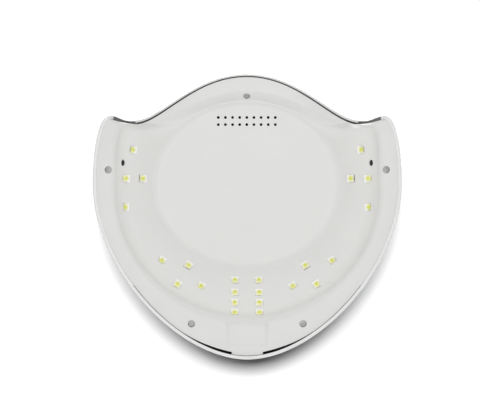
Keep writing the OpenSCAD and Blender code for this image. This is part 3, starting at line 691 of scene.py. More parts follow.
def turned(name: str, profile: Sequence[tuple[float, float, float]], place: Matrix,
           around: int = 48) -> bpy.types.Object:
    """A closed turned solid.

    Args:
        name: the object's name.
        profile: corners as radius, height and rounding, from axis to axis.
        place: the frame that its axis stands in, in millimetres.
        around: points in a circle.

    Returns:
        The new object.
    """
    corners = np.array([[r, 0.0, z] for r, z, _ in profile])
    reach = [size for _, _, size in profile]
    path = rounded_path(corners, reach, TURNED_SAMPLES, [0] * len(profile))
    angles = np.linspace(0, 2 * math.pi, around, endpoint=False)
    ring = np.stack([np.cos(angles), np.sin(angles), 0 * angles], -1)
    rings = path[:, None, :1] * ring + path[:, None, 2:] * UP
    return loft(name, moved(place, rings))


def moved(place: Matrix, points: Points) -> Points:
    """Puts local points where a frame says, in the same unit."""
    turn = np.array(place)
    return points @ turn[:3, :3].T + turn[:3, 3]


def rounded_rectangle(width: float, height: float, radius: float, steps: int = 8) -> Points:
    """The outline of a rectangle with round corners, centred, counter-clockwise.

    Args:
        width: size along x.
        height: size along y.
        radius: corner radius.
        steps: pieces in each corner.

    Returns:
        Rows of x and y.
    """
    centres = [(1, 1), (-1, 1), (-1, -1), (1, -1)]
    points = []
    for quarter, (sx, sy) in enumerate(centres):
        for k in range(steps + 1):
            angle = math.radians(90 * (quarter + k / steps))
            x = sx * (width / 2 - radius) + radius * math.cos(angle)
            y = sy * (height / 2 - radius) + radius * math.sin(angle)
            points.append((x, y))
    return np.array(points)


def circle(radius: float, around: int = 40) -> Points:
    """Points of a circle, as rows of x and y."""
    angles = np.linspace(0, 2 * math.pi, around, endpoint=False)
    return radius * np.stack([np.cos(angles), np.sin(angles)], -1)


def prism(name: str, outline: Points, low: float, high: float, place: Matrix) -> bpy.types.Object:
    """A straight closed prism over an outline."""
    rings = np.stack([np.pad(outline, ((0, 0), (0, 1)), constant_values=z) for z in (low, high)])
    return loft(name, moved(place, rings))


def axes_frame(origin: Points, x: Points, y: Points, z: Points) -> Matrix:
    """A frame from its origin and its three axes.

    Args:
        origin: where the frame stands.
        x: its first axis.
        y: its second axis.
        z: its third axis.

    Returns:
        The frame as a matrix.
    """
    columns = np.eye(4)
    columns[:3, 0], columns[:3, 1], columns[:3, 2], columns[:3, 3] = x, y, z, origin
    return Matrix(columns.tolist())


# ---------------------------------------------------------------- the lamp's form


# The right half of the rim in four Bezier stretches, from the rear to the middle of the arch.
# Each point is given as shares of the half width, the half depth and the height of the arch's lip.
DOME_STATION = -0.19
WIDEST = (1, DOME_STATION, 0)
TIP = (0.915, -0.63, 0)
SHOULDER = (0.731, -0.652, 0.7)
EDGE_SHARES = (
    ((0, 1, 0), (0.445, 1, 0), (1, 0.395, 0), WIDEST),
    (WIDEST, (1, -0.37, 0), (0.971, -0.594, 0), TIP),
    (TIP, (0.84, -0.673, 0), (0.867, -0.605, 0.533), SHOULDER),
    (SHOULDER, (0.57, -0.708, 0.9), (0.348, -1, 1), (0, -1, 1)),
)


@dataclass(frozen=True)
class LampForm:
    """The curves that the cover and the liner share, for any fineness of steps."""

    half_width: float
    half_depth: float
    height: float
    steps: tuple[int, int, int, int] = (18, 9, 8, 11)
    shell_wall: float = 2.4
    liner_wall: float = 1.8
    rear_gap: float = 0.14
    side_gap: float = 0.02
    arch_gap: float = 0.85
    edge_thickness: float = 1.2
    visor_share: float = 0.73
    ceiling_share: float = 0.515
    ceiling_vault: float = 2.2
    flange_height: float = 0.8
    crease_height: float = 2.0
    side_foot: float = 15.0
    rear_foot: float = 7.0
    foot_lean: float = 2.4
    visor_lean: float = 52.0
    roundness: float = 2.6
    squareness: float = 2.2
    # The foot's height at the tips as a share of the sides' height, and how far towards the
    # ceiling's edge its top stands where it has no height.
    foot_fade: float = 0.6
    foot_slope: float = 0.12
    # Where the gap changes: two shares of the rear stretch, then two of the whole level part of
    # the rim. At the third of these it has the start share of the arch's gap.
    gap_turns: tuple[float, ...] = (0.5, 0.8, 1.12, 1.3)
    gap_start: float = 0.3
    ceiling_angles: tuple[float, ...] = (90, 2, -30, -44, -90)
    ceiling_station: float = -0.187
    ceiling_half: tuple[float, float] = (0.65, 0.601)
    # Rings on the ceiling, each a share of its edge and a share of its vault.
    ceiling_rings: tuple[tuple[float, float], ...] = ((0.955, 0.62), (0.86, 0.86), (0.45, 0.97), (0.0, 1.0))

    @property
    def visor(self) -> float:
        """Height of the arch's lip."""
        return self.height * self.visor_share

    @property
    def ceiling(self) -> float:
        """Height of the ceiling's edge."""
        return self.height * self.ceiling_share

    @property
    def centre(self) -> Points:
        """The dome's middle in plan."""
        return np.array([0.0, DOME_STATION * self.half_depth, 0.0])

    @property
    def crease_shares(self) -> tuple:
        """The crease between flange and wall, as shares like the edge's.

        Returns:
            Four stretches of four points.
        """
        low = self.crease_height / self.visor
        widest, tip, shoulder = (0.862, -0.149, low), (0.817, -0.576, 2 * low), (0.66, -0.624, 0.733)
        return (
            ((0, 0.733, low), (0.388, 0.733, low), (0.862, 0.416, low), widest),
            (widest, (0.862, -0.412, low), (0.859, -0.543, low), tip),
            (tip, (0.781, -0.603, 0.1), (0.766, -0.602, 0.5), shoulder),
            (shoulder, (0.553, -0.646, 0.867), (0.291, -0.871, 0.942), (0, -0.871, 0.942)),
        )

    def loop(self, shares: Sequence) -> Points:
        """A closed loop from four Bezier stretches of its right half.

        Args:
            shares: control points as shares of the half width, half depth and visor height.

        Returns:
            Rows of x, y, z, from the rear round the right side.
        """
        scale = np.array([self.half_width, self.half_depth, self.visor])
        half = [np.array(shares[0][0], float) * scale]
        for stretch, count in zip(shares, self.steps):
            a, b, c, d = np.array(stretch, float) * scale
            for t in np.arange(1, count + 1) / count:
                half.append((1 - t) ** 3 * a + 3 * (1 - t) ** 2 * t * b + 3 * (1 - t) * t * t * c + t**3 * d)
        return self._closed(np.array(half))

    @staticmethod
    def _closed(half: Points) -> Points:
        """Adds the mirrored left half to a right half."""
        return np.concatenate([half, half[-2:0:-1] * np.array([-1, 1, 1])])

    @staticmethod
    def _both_sides(half: Points) -> Points:
        """Turns one value for each point of the right half into a column for the whole loop."""
        return np.concatenate([half, half[-2:0:-1]])[:, None]

    def _stations(self, values: Sequence[float], eased: bool) -> Points:
        """Spreads five station values over the right half.

        Args:
            values: the values at the ends of the four stretches.
            eased: whether each stretch starts and ends softly.

        Returns:
            One value for each point of the right half.
        """
        spread = [values[0]]
        for k, count in enumerate(self.steps):
            t = np.arange(1, count + 1) / count
            t = t * t * (3 - 2 * t) if eased else t
            spread += list(values[k] + (values[k + 1] - values[k]) * t)
        return np.array(spread, float)

    @staticmethod
    def inward(loop: Points) -> Points:
        """Level unit vectors that point into a loop.

        Args:
            loop: rows of x, y, z.

        Returns:
            One vector for each row.
        """
        run = np.roll(loop, -1, 0) - np.roll(loop, 1, 0)
        run[:, 2] = 0
        run /= np.linalg.norm(run, axis=1, keepdims=True)
        return np.stack([run[:, 1], -run[:, 0], 0 * run[:, 0]], -1)

    @cached_property
    def edge(self) -> Points:
        """The cover's rim."""
        return self.loop(EDGE_SHARES)

    @cached_property
    def crease(self) -> Points:
        """The line where the flange meets the wall."""
        return self.loop(self.crease_shares)

    @cached_property
    def lean(self) -> Points:
        """How far the rim's wall leans at each column, in radians."""
        return np.radians(self.visor_lean * self.edge[:, 2:] / self.visor)

    @cached_property
    def into(self) -> Points:
        """The direction through the rim's wall, into the lamp."""
        return np.cos(self.lean) * self.inward(self.edge) - np.sin(self.lean) * UP

    @cached_property
    def over(self) -> Points:
        """The direction up the cover's face from the rim."""
        return np.sin(self.lean) * self.inward(self.edge) + np.cos(self.lean) * UP

    def ceiling_loop(self, share: float, z: float) -> Points:
        """An ellipse on the ceiling.

        Args:
            share: its size as a share of the ceiling's edge.
            z: its height.

        Returns:
            The closed loop.
        """
        angle = np.radians(self._stations(self.ceiling_angles, eased=False))
        wide, deep = self.ceiling_half
        x = share * wide * self.half_width * np.cos(angle)
        y = self.ceiling_station * self.half_depth + share * deep * self.half_depth * np.sin(angle)
        x[0] = x[-1] = 0.0
        return self._closed(np.stack([x, y, np.full_like(x, z)], -1))

    @cached_property
    def foot_top(self) -> Points:
        """The top of the wall's steep foot.

        Returns:
            The closed loop.
        """
        heights = self.rear_foot, self.side_foot, self.foot_fade * self.side_foot, 0, 0
        rises = self._both_sides(self._stations(heights, eased=True))
        share = rises / self.side_foot
        across = self.foot_slope * (1 - share) * (self.ceiling_rim - self.crease)
        return self.crease + across + share * self.foot_lean * self.inward(self.crease) + rises * UP

    @cached_property
    def ceiling_rim(self) -> Points:
        """The line where the wall meets the ceiling."""
        return self.ceiling_loop(1.0, self.ceiling)

    @cached_property
    def gap(self) -> Points:
        """The air between cover and liner at each column: tight on the table, open along the arch.

        Returns:
            One width for each column, in millimetres.
        """
        column = np.arange(sum(self.steps) + 1)
        rear, level = self.steps[0], self.steps[0] + self.steps[1]
        narrowing, narrow, opening, opened = self.gap_turns
        stations = (0, narrowing * rear, narrow * rear, level, opening * level, opened * level)
        middle = self.gap_start * self.arch_gap
        gaps = (self.rear_gap, self.rear_gap, self.side_gap, self.side_gap, middle, self.arch_gap)
        return self._both_sides(np.interp(column, stations, gaps))

    @cached_property
    def liner_rows(self) -> Points:
        """The liner's visible face as corner loops, from the flange's edge to the ceiling's middle.

        Returns:
            The loops, one for each corner line.
        """
        lift = self.edge[:, 2:] / self.visor
        amount = self.shell_wall + self.gap + self.edge_thickness * np.sin(self.lean)
        rim = self.edge + amount * self.into + self.flange_height * (1 - lift) * UP
        rings = [self.ceiling_loop(share, self.ceiling + rise * self.ceiling_vault)
                 for share, rise in self.ceiling_rings]
        return np.array([
            rim,
            0.5 * (rim + self.crease),
            self.crease,
            self.foot_top,
            0.5 * (self.foot_top + self.ceiling_rim),
            self.ceiling_rim,
            *rings,
        ])

    @cached_property
    def liner_back_rows(self) -> Points:
        """The liner's hidden face, one wall behind the visible one.

        Returns:
            The loops, as many as the visible face has.
        """
        rows = self.liner_rows
        back = []
        for j, row in enumerate(rows):
            if j == 0:
                back.append(row + self.edge_thickness * UP)
                continue
            if j == len(rows) - 1:
                back.append(row + self.liner_wall * UP)
                continue
            along = np.roll(row, -1, 0) - np.roll(row, 1, 0)
            facing = np.cross(along, rows[j + 1] - rows[j - 1])
            facing /= np.linalg.norm(facing, axis=1, keepdims=True)
            back.append(row - self.liner_wall * facing)
        return np.array(back)

    def board_frame(self, wall: Wall, shift: float) -> Matrix:
        """A light board's frame: x along the wall, y up it, z into the chamber.

        Args:
            wall: which board.
            shift: how far the frame stands off the wall's straight line.

        Returns:
            The frame, in millimetres.
        """
        middle = 0.5 * (self.foot_top + self.ceiling_rim)
        k = wall.value
        x = middle[(k + 1) % len(middle)] - middle[k - 1]
        x[2] = 0
        x /= np.linalg.norm(x)
        z = np.cross(x, self.ceiling_rim[k] - self.foot_top[k])
        z /= np.linalg.norm(z)
        return axes_frame(middle[k] + shift * z, x, np.cross(z, x), z)

    def crown_line(self, y: float) -> float:
        """The cover's height on the middle line.

        Args:
            y: the place from front to rear.

        Returns:
            The height above the table.
        """
        share = (1 - (self.visor_share) ** self.squareness) ** (1 / self.roundness)
        s = (y - self.centre[1]) / (-self.half_depth - self.centre[1])
        return self.height * (1 - (s * share) ** self.roundness) ** (1 / self.squareness)


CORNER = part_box("outer_shell")[1] / MM
COARSE = LampForm(CORNER.x, CORNER.y, CORNER.z)
FINE = LampForm(CORNER.x, CORNER.y, CORNER.z, steps=(64, 36, 34, 44))


@dataclass(frozen=True)
class LightLayout:
    """Where the light packages and the posts behind them sit in a board's own frame.

    Each package is moved up the wall by the slide and off it by the rise, then leans by the tilt in degrees.
    """

    wall: Wall
    shift: float
    spots: tuple[tuple[float, float], ...]
    posts: tuple[tuple[float, float], ...]
    tilt: float
    slide: float
    rise: float
    mirrored: bool = True

    def frames(self) -> list[Matrix]:
        """The board's frame, and its mirror image where the lamp has one on each side.

        Returns:
            One or two frames, in millimetres.
        """
        right = COARSE.board_frame(self.wall, self.shift)
        flip = Matrix.Diagonal((-1, 1, 1, 1))
        return [right, flip @ right] if self.mirrored else [right]


LAYOUTS = (
    LightLayout(
        Wall.SIDE, shift=0.5, tilt=32, slide=-1.3, rise=1.2,
        spots=((15, -5.2), (-5.1, -10.6), (-4.3, 6.4), (-24.8, -10)),
        posts=((-14, -3), (5.5, -3.5)),
    ),
    LightLayout(
        Wall.REAR_SIDE, shift=0.6, tilt=24, slide=-0.8, rise=0.9,
        spots=((19.2, -1.9), (1.8, 7.3), (1.4, -13), (-13.1, -3.3)),
        posts=((-5.8, -2.8), (10, -2.6)),
    ),
    LightLayout(
        Wall.REAR, shift=0.3, tilt=15, slide=-1.0, rise=1.2, mirrored=False,
        spots=tuple((x, y) for x in (-8.4, 8.4) for y in (-20, -11, -1.6, 9.8)),
        posts=((0, -15.5), (0, 4)),
    ),
)


# ---------------------------------------------------------------- finishes


@dataclass(frozen=True)
class Plastic:
    """Moulded plastic with a fine grain and a slightly uneven tone.

    The chamber value is painted light: between two heights in millimetres the colour is raised to that
    factor, so that the chamber's shaded walls and ceiling come out as bright as its flange. The hidden value
    is painted shade: it darkens the marked faces that look at the other moulding, so that the gap between the
    mouldings reads dark.
    """

    name: str
    colour: Colour
    surface: Surface = Surface.SATIN
    tone: float = 0.03
    coat: float = 0.0
    # Painted light on the chamber: the colour factor, and the heights in millimetres over which it ramps in.
    chamber: float = 1.0
    painted_light_rise: tuple[float, float] = (1.0, 12.0)
    # Painted shade: the colour factor on faces that look at the other moulding.
    hidden: float = 1.0

    def make(self) -> bpy.types.Material:
        """Builds the material.

        Returns:
            The finished material.
        """
        grain = self.surface.value
        graph = ShaderGraph(self.name)
        dark = tuple(c * (1 - self.tone) for c in self.colour)
        blots = graph.spread(graph.noise(size_mm=38, detail=3), 0, 1)
        colour = graph.blend(blots, dark, self.colour)
        # Painted light: the colour is raised by the chamber factor above the flange, where the walls and
        # ceiling lie in shade.
        if self.chamber != 1.0:
            _, _, height = graph.split(graph.place)
            rise = [level * MM for level in self.painted_light_rise]
            colour = graph.vector("SCALE", colour, scale=graph.remap(height, rise, (1, self.chamber)))
        # Painted shade: faces marked as looking at the other moulding are darkened by the hidden factor.
        if self.hidden != 1.0:
            back = graph.out(graph.add("ShaderNodeAttribute", attribute_name="hidden"), "Fac")
            share = graph.math("SUBTRACT", 1.0, graph.math("MULTIPLY", back, 1.0 - self.hidden))
            colour = graph.vector("SCALE", colour, scale=share)
        return graph.surface({
            "Base Color": colour,
            "Roughness": graph.spread(graph.noise(size_mm=9, detail=4), grain.smoothest, grain.roughest),
            "Normal": graph.relief(graph.noise(grain.size, detail=3), grain.depth),
            "Coat Weight": self.coat,
            "Coat Roughness": 0.08,
            "IOR": 1.49,
        })


@dataclass(frozen=True)
class Metal:
    """Plated or turned metal with fine tool marks."""

    name: str
    colour: Colour
    roughness: float = 0.25
    marks_mm: float = 0.12
    wear: float = 0.82
    unevenness: float = 0.3

    def make(self) -> bpy.types.Material:
        """Builds the material.

        Returns:
            The finished material.
        """
        graph = ShaderGraph(self.name)
        worn = tuple(c * self.wear for c in self.colour)
        marks = graph.noise(self.marks_mm, detail=5, rough=0.7)
        stains = graph.spread(graph.noise(size_mm=2.5, detail=4), 0, 1)
        low, high = ((1 + way * self.unevenness) * self.roughness for way in (-1, 1))
        return graph.surface({
            "Base Color": graph.blend(stains, worn, self.colour),
            "Metallic": 1.0,
            "Roughness": graph.spread(marks, low, high),
            "Normal": graph.relief(marks, depth_mm=0.004),
        })


@dataclass(frozen=True)
class SolderMask:
    """A circuit board's lacquer, with tracks that stand a little proud of it."""

    name: str
    colour: Colour
    track_mm: float = 2.2
    track_share: float = 0.12

    def make(self) -> bpy.types.Material:
        """Builds the material.

        Returns:
            The finished material.
        """
        graph = ShaderGraph(self.name)
        inputs = {"Vector": graph.place, "Scale": 1 / (self.track_mm * MM), "Randomness": 0.35}
        cells = graph.add("ShaderNodeTexVoronoi", inputs, feature="DISTANCE_TO_EDGE", distance="EUCLIDEAN")
        tracks = graph.math("LESS_THAN", graph.out(cells, "Distance"), self.track_share)
        raised = tuple(min(1.0, c * 1.25 + 0.01) for c in self.colour)
        return graph.surface({
            "Base Color": graph.blend(tracks, self.colour, raised),
            "Roughness": graph.spread(graph.noise(size_mm=0.8, detail=3), 0.25, 0.38),
            "Normal": graph.relief(tracks, depth_mm=0.03),
        })


@dataclass(frozen=True)
class LensGel:
    """The yellow gel of a light package: pale at its rim, deep yellow over the die."""

    name: str
    rim: Colour
    middle: Colour
    fade: tuple[float, float] = (0.15, 0.85)

    def make(self) -> bpy.types.Material:
        """Builds the material, which reads the lens's own distance from its axis.

        Returns:
            The finished material.
        """
        graph = ShaderGraph(self.name)
        reach = graph.out(graph.add("ShaderNodeAttribute", attribute_name="reach"), "Fac")
        share = graph.remap(reach, self.fade, (0.0, 1.0), "SMOOTHSTEP")
        return graph.surface({
            "Base Color": graph.blend(share, self.middle, self.rim),
            "Roughness": graph.spread(graph.noise(size_mm=1.1), 0.16, 0.24),
            "Normal": graph.relief(graph.noise(size_mm=0.5), depth_mm=0.01),
            "Coat Weight": 0.35,
            "IOR": 1.42,
        })


@dataclass(frozen=True)
class ClearPlastic:
    """A light pipe or a tinted window."""

    name: str
    colour: Colour
    clear: float = 0.8

    def make(self) -> bpy.types.Material:
        """Builds the material.

        Returns:
            The finished material.
        """
        graph = ShaderGraph(self.name)
        dim = tuple(0.94 * c for c in self.colour)
        return graph.surface({
            "Base Color": graph.blend(graph.noise(size_mm=1.5), self.colour, dim),
            "Roughness": graph.spread(graph.noise(size_mm=0.6, detail=3), 0.1, 0.2),
            "Transmission Weight": self.clear,
            "IOR": 1.49,
        })


# hidden is painted shade in the gap between cover and liner; the liner's chamber factor is painted light.
COVER_GLOSS = Plastic("cover gloss", (0.765, 0.765, 0.76), Surface.POLISHED, tone=0.012, hidden=0.12)
LINER_SATIN = Plastic("liner satin", (0.735, 0.733, 0.720), tone=0.02, chamber=1.11, hidden=0.12)
PACKAGE_WHITE = Plastic("package white", (0.99, 0.99, 0.97), tone=0.01)
GEL = LensGel("lens gel", (0.96, 0.95, 0.58), (0.70, 0.74, 0.07))
SCREW_NICKEL = Metal("screw nickel", (0.44, 0.44, 0.435), 0.55)
PLATING = Metal("plating", (0.72, 0.71, 0.67), 0.2)
SWITCH_TIN = Metal("switch tin", (0.6, 0.6, 0.6), 0.35)
SENSOR_BLACK = Plastic("sensor black", (0.006, 0.005, 0.006))
PANEL_BLACK = Plastic("panel black", (0.014, 0.014, 0.016), Surface.POLISHED, coat=0.8)
SOCKET_BLACK = Plastic("socket black", (0.022, 0.022, 0.024), Surface.MATTE)
SWITCH_BLACK = Plastic("switch black", (0.03, 0.03, 0.03), Surface.MATTE)
CHIP_BLACK = Plastic("chip black", (0.018, 0.018, 0.019), Surface.MATTE)
KEY_GREY = Plastic("key grey", (0.66, 0.665, 0.675), tone=0.02)
LEGEND_INK = Plastic("legend ink", (0.03, 0.032, 0.036), Surface.MATTE)
FERRITE = Plastic("ferrite", (0.055, 0.055, 0.06), Surface.MATTE, tone=0.2)
SLEEVE = Plastic("capacitor sleeve", (0.03, 0.04, 0.12), Surface.POLISHED)
NYLON = Plastic("header nylon", (0.78, 0.74, 0.6))
RED_JACKET = Plastic("red jacket", (0.42, 0.02, 0.015), tone=0.1)
BLACK_JACKET = Plastic("black jacket", (0.02, 0.02, 0.021), tone=0.1)
RIBBON_GREY = Plastic("ribbon grey", (0.42, 0.42, 0.4), Surface.MATTE)
GREEN_MASK = SolderMask("green mask", (0.02, 0.12, 0.05))
WHITE_MASK = SolderMask("white mask", (0.74, 0.74, 0.7))
LIGHT_PIPE = ClearPlastic("light pipe", (0.85, 0.9, 0.95))


class FinishBook:
    """Makes each finish once and hands it out by its own value."""

    def __init__(self) -> None:
        """Starts with no material made."""
        self._made: dict[Any, bpy.types.Material] = {}

    def __getitem__(self, finish: Any) -> bpy.types.Material:
        """Gives a finish's material, made on first use.

        Args:
            finish: one of the finishes above.

        Returns:
            Its material.
        """
        if finish not in self._made:
            self._made[finish] = finish.make()
        return self._made[finish]

    def dress(self, piece: bpy.types.Object, finish: Any, body: str = BODY,
              replaces: Sequence[str] = ()) -> None:
        """Gives a finished piece its material and its body, and hides the nodes that it stands for.

        Args:
            piece: the object.
            finish: one of the finishes above.
            body: the body that it rides on.
            replaces: the nodes that it stands for, which are hidden.
        """
        piece.data.materials.clear()
        piece.data.materials.append(self[finish])
        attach(piece, body)
        if replaces:
            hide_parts(*replaces)


BOOK = FinishBook()


# ---------------------------------------------------------------- geometry trees


class DomeTree:
    """Geometry Nodes tree of the cover: a superellipse dome over any rim, with a rounded edge.

    The rim's points carry the directions into and up the wall. The profile's points carry the depth into the
    wall, the share of the way from rim to crown, and the lift off the rim.
    """

    def __init__(self) -> None:
        """Builds the tree."""
        g = self.graph = GeometryGraph("dome over a rim")
        height = g.input("Height")
        across = g.input("Roundness")
        upward = g.input("Squareness")
        middle = g.input("Middle", "Vector")
        profile = g.input("Profile", "Object")
        finish = g.input("Finish", "Material")
        rim = g.given.outputs["Geometry"]
        rows = g.model(profile)
        columns = self._count(rim)
        across_count = g.math("ADD", columns, 1.0)
        grid = g.add("GeometryNodeMeshGrid", {"Vertices X": self._count(rows), "Vertices Y": across_count})
        index = g.add("GeometryNodeInputIndex").outputs[0]
        # Half a step keeps the division clear of rounding.
        row = g.math("FLOOR", g.math("DIVIDE", g.math("ADD", index, 0.5), across_count))
        column = g.math("MODULO", g.math("SUBTRACT", index, g.math("MULTIPLY", row, across_count)), columns)
        place = self._sample(rim, g.add("GeometryNodeInputPosition").outputs[0], "FLOAT_VECTOR", column)
        into = self._sample(rim, g.attribute("into"), "FLOAT_VECTOR", column)
        over = self._sample(rim, g.attribute("over"), "FLOAT_VECTOR", column)
        depth = self._sample(rows, g.attribute("depth", "FLOAT"), "FLOAT", row)
        share = self._sample(rows, g.attribute("share", "FLOAT"), "FLOAT", row)
        lift = self._sample(rows, g.attribute("lift", "FLOAT"), "FLOAT", row)

        foot = g.vector("ADD", place, g.vector("SCALE", into, scale=depth))
        x, y, z = g.split(foot)
        top = g.math("SUBTRACT", height, depth)
        power = g.math("DIVIDE", upward, 2.0)
        start = g.math("ARCSINE", g.math("POWER", g.math("MAXIMUM", g.math("DIVIDE", z, top), 0.0), power))
        rest = g.math("SUBTRACT", math.pi / 2, start)
        angle = g.math("ADD", start, g.math("MULTIPLY", rest, share))
        ratio = g.math("DIVIDE", g.math("MAXIMUM", g.math("COSINE", angle), 0.0), g.math("COSINE", start))
        reach = g.math("POWER", ratio, g.math("DIVIDE", 2.0, across))
        rise = g.math("MULTIPLY", top, g.math("POWER", g.math("SINE", angle), g.math("DIVIDE", 1.0, power)))
        middle_x, middle_y, _ = g.split(middle)
        point = g.join(self._mix(middle_x, x, reach), self._mix(middle_y, y, reach), rise)
        raised = g.vector("ADD", point, g.vector("SCALE", over, scale=lift))
        shaped = g.add("GeometryNodeSetPosition", {"Geometry": grid.outputs["Mesh"], "Position": raised})
        seam = {"Geometry": shaped.outputs[0], "Distance": SEAM_DISTANCE}
        sealed = g.add("GeometryNodeMergeByDistance", seam)
        g.end(sealed.outputs[0], finish)

    def _count(self, geometry: bpy.types.NodeSocket) -> bpy.types.NodeSocket:
        """How many points a geometry has."""
        node = self.graph.add("GeometryNodeAttributeDomainSize", {"Geometry": geometry})
        return self.graph.out(node, "Point Count")

    def _sample(self, geometry: Any, value: Any, kind: str, index: Any) -> bpy.types.NodeSocket:
        """Reads a value at one point of a geometry.

        Args:
            geometry: what is read.
            value: the value at each of its points.
            kind: the value's type.
            index: which point.

        Returns:
            The value there.
        """
        node = self.graph.add("GeometryNodeSampleIndex", data_type=kind, domain="POINT")
        for key, given in (("Geometry", geometry), ("Value", value), ("Index", index)):
            self.graph.feed(node, key, given)
        return self.graph.out(node, "Value")

    def _mix(self, a: Any, b: Any, share: Any) -> bpy.types.NodeSocket:
        """Goes from a to b by a share."""
        way = self.graph.math("SUBTRACT", b, a)
        return self.graph.math("ADD", a, self.graph.math("MULTIPLY", way, share))


class ScatterTree:
    """Geometry Nodes tree that puts one shape at each point, turned to the point's own axes."""

    def __init__(self) -> None:
        """Builds the tree."""
        g = self.graph = GeometryGraph("shape at each frame")
        shape = g.input("Shape", "Object")
        lift = g.input("Lift")
        finish = g.input("Finish", "Material")
        face = g.attribute("face")
        turn = g.add("FunctionNodeAxesToRotation", {0: face, 1: g.attribute("along")},
                     primary_axis="Z", secondary_axis="X")
        shifted = g.add("GeometryNodeSetPosition", {
            "Geometry": g.given.outputs["Geometry"], "Offset": g.vector("SCALE", face, scale=lift)})
        copies = g.add("GeometryNodeInstanceOnPoints", {
            "Points": shifted.outputs[0], "Instance": g.model(shape),
            "Rotation": turn.outputs[0]})
        g.end(copies.outputs[0], finish)

    def run(self, shape: bpy.types.Object, frames: Sequence[Matrix], name: str, finish: Any = None,
            lift: float = 0.0) -> bpy.types.Object:
        """Puts copies of a shape at frames and removes the shape.

        Args:
            shape: the model, in metres, with its face towards +Z.
            frames: the places, in millimetres.
            name: the new piece's name.
            finish: the finish to set, or none for a cutter.
            lift: how far each copy is moved along its face, in millimetres.

        Returns:
            The piece with all copies.
        """
        places = [(f.translation * MM)[:] for f in frames]
        along, face = ([f.col[axis][:3] for f in frames] for axis in (0, 2))
        points = place_points(f"{name}_points", places, along=along, face=face)
        material = BOOK[finish] if finish else None
        piece = self.graph.run(points, name, shape=shape, lift=lift * MM, finish=material)
        discard(shape)
        return piece


DOME_TREE = DomeTree()
SCATTER_TREE = ScatterTree()


class Underside:
    """Finds where a straight line meets a shell, so that posts and wells end inside its wall."""

    def __init__(self, points: Points, faces: Sequence[Sequence[int]]) -> None:
        """Keeps the shell in a search tree."""
        self.tree = BVHTree.FromPolygons([tuple(p) for p in points], [tuple(f) for f in faces])

    def reach(self, start: Points, way: Points) -> float:
        """The distance to the first hit, or 0 where there is none."""
        hit = self.tree.ray_cast(Vector(start), Vector(way))
        return hit[3] or 0.0

    def post(self, name: str, outline: Points, place: Matrix, sink: float) -> bpy.types.Object:
        """A closed post that starts at a frame and ends inside the shell's wall.

        Args:
            name: the object's name.
            outline: its outline in the frame's x and y.
            place: the frame; the post runs along its z.
            sink: how far past the first hit it ends.

        Returns:
            The new object.
        """
        base = moved(place, np.pad(outline, ((0, 0), (0, 1))))
        way = np.array(place.col[2][:3])
        ends = np.array([p + way * (self.reach(p, way) + sink) for p in base])
        return loft(name, np.stack([base, ends]))

    def tube(self, name: str, inner: Points, outer: Points, place: Matrix,
             floor: float, sink: float) -> bpy.types.Object:
        """A cup whose open end meets the shell and whose floor lies at the frame.

        Args:
            name: the object's name.
            inner: the cup's inner outline, with as many points as the outer one.
            outer: the cup's outer outline.
            place: the frame at the floor's inner face; the cup opens along its z.
            floor: the floor's thickness.
            sink: how far past the first hit the wall ends.

        Returns:
            The new object.
        """
        way = np.array(place.col[2][:3])
        rings = []
        for outline, rise in ((outer, -floor), (outer, None), (inner, None), (inner, 0.0)):
            base = moved(place, np.pad(outline, ((0, 0), (0, 1))))
            if rise is None:
                base = np.array([p + way * (self.reach(p, way) + sink) for p in base])
            else:
                base = base + way * rise
            rings.append(base)
        return loft(name, np.array(rings))


# ---------------------------------------------------------------- sub-assemblies


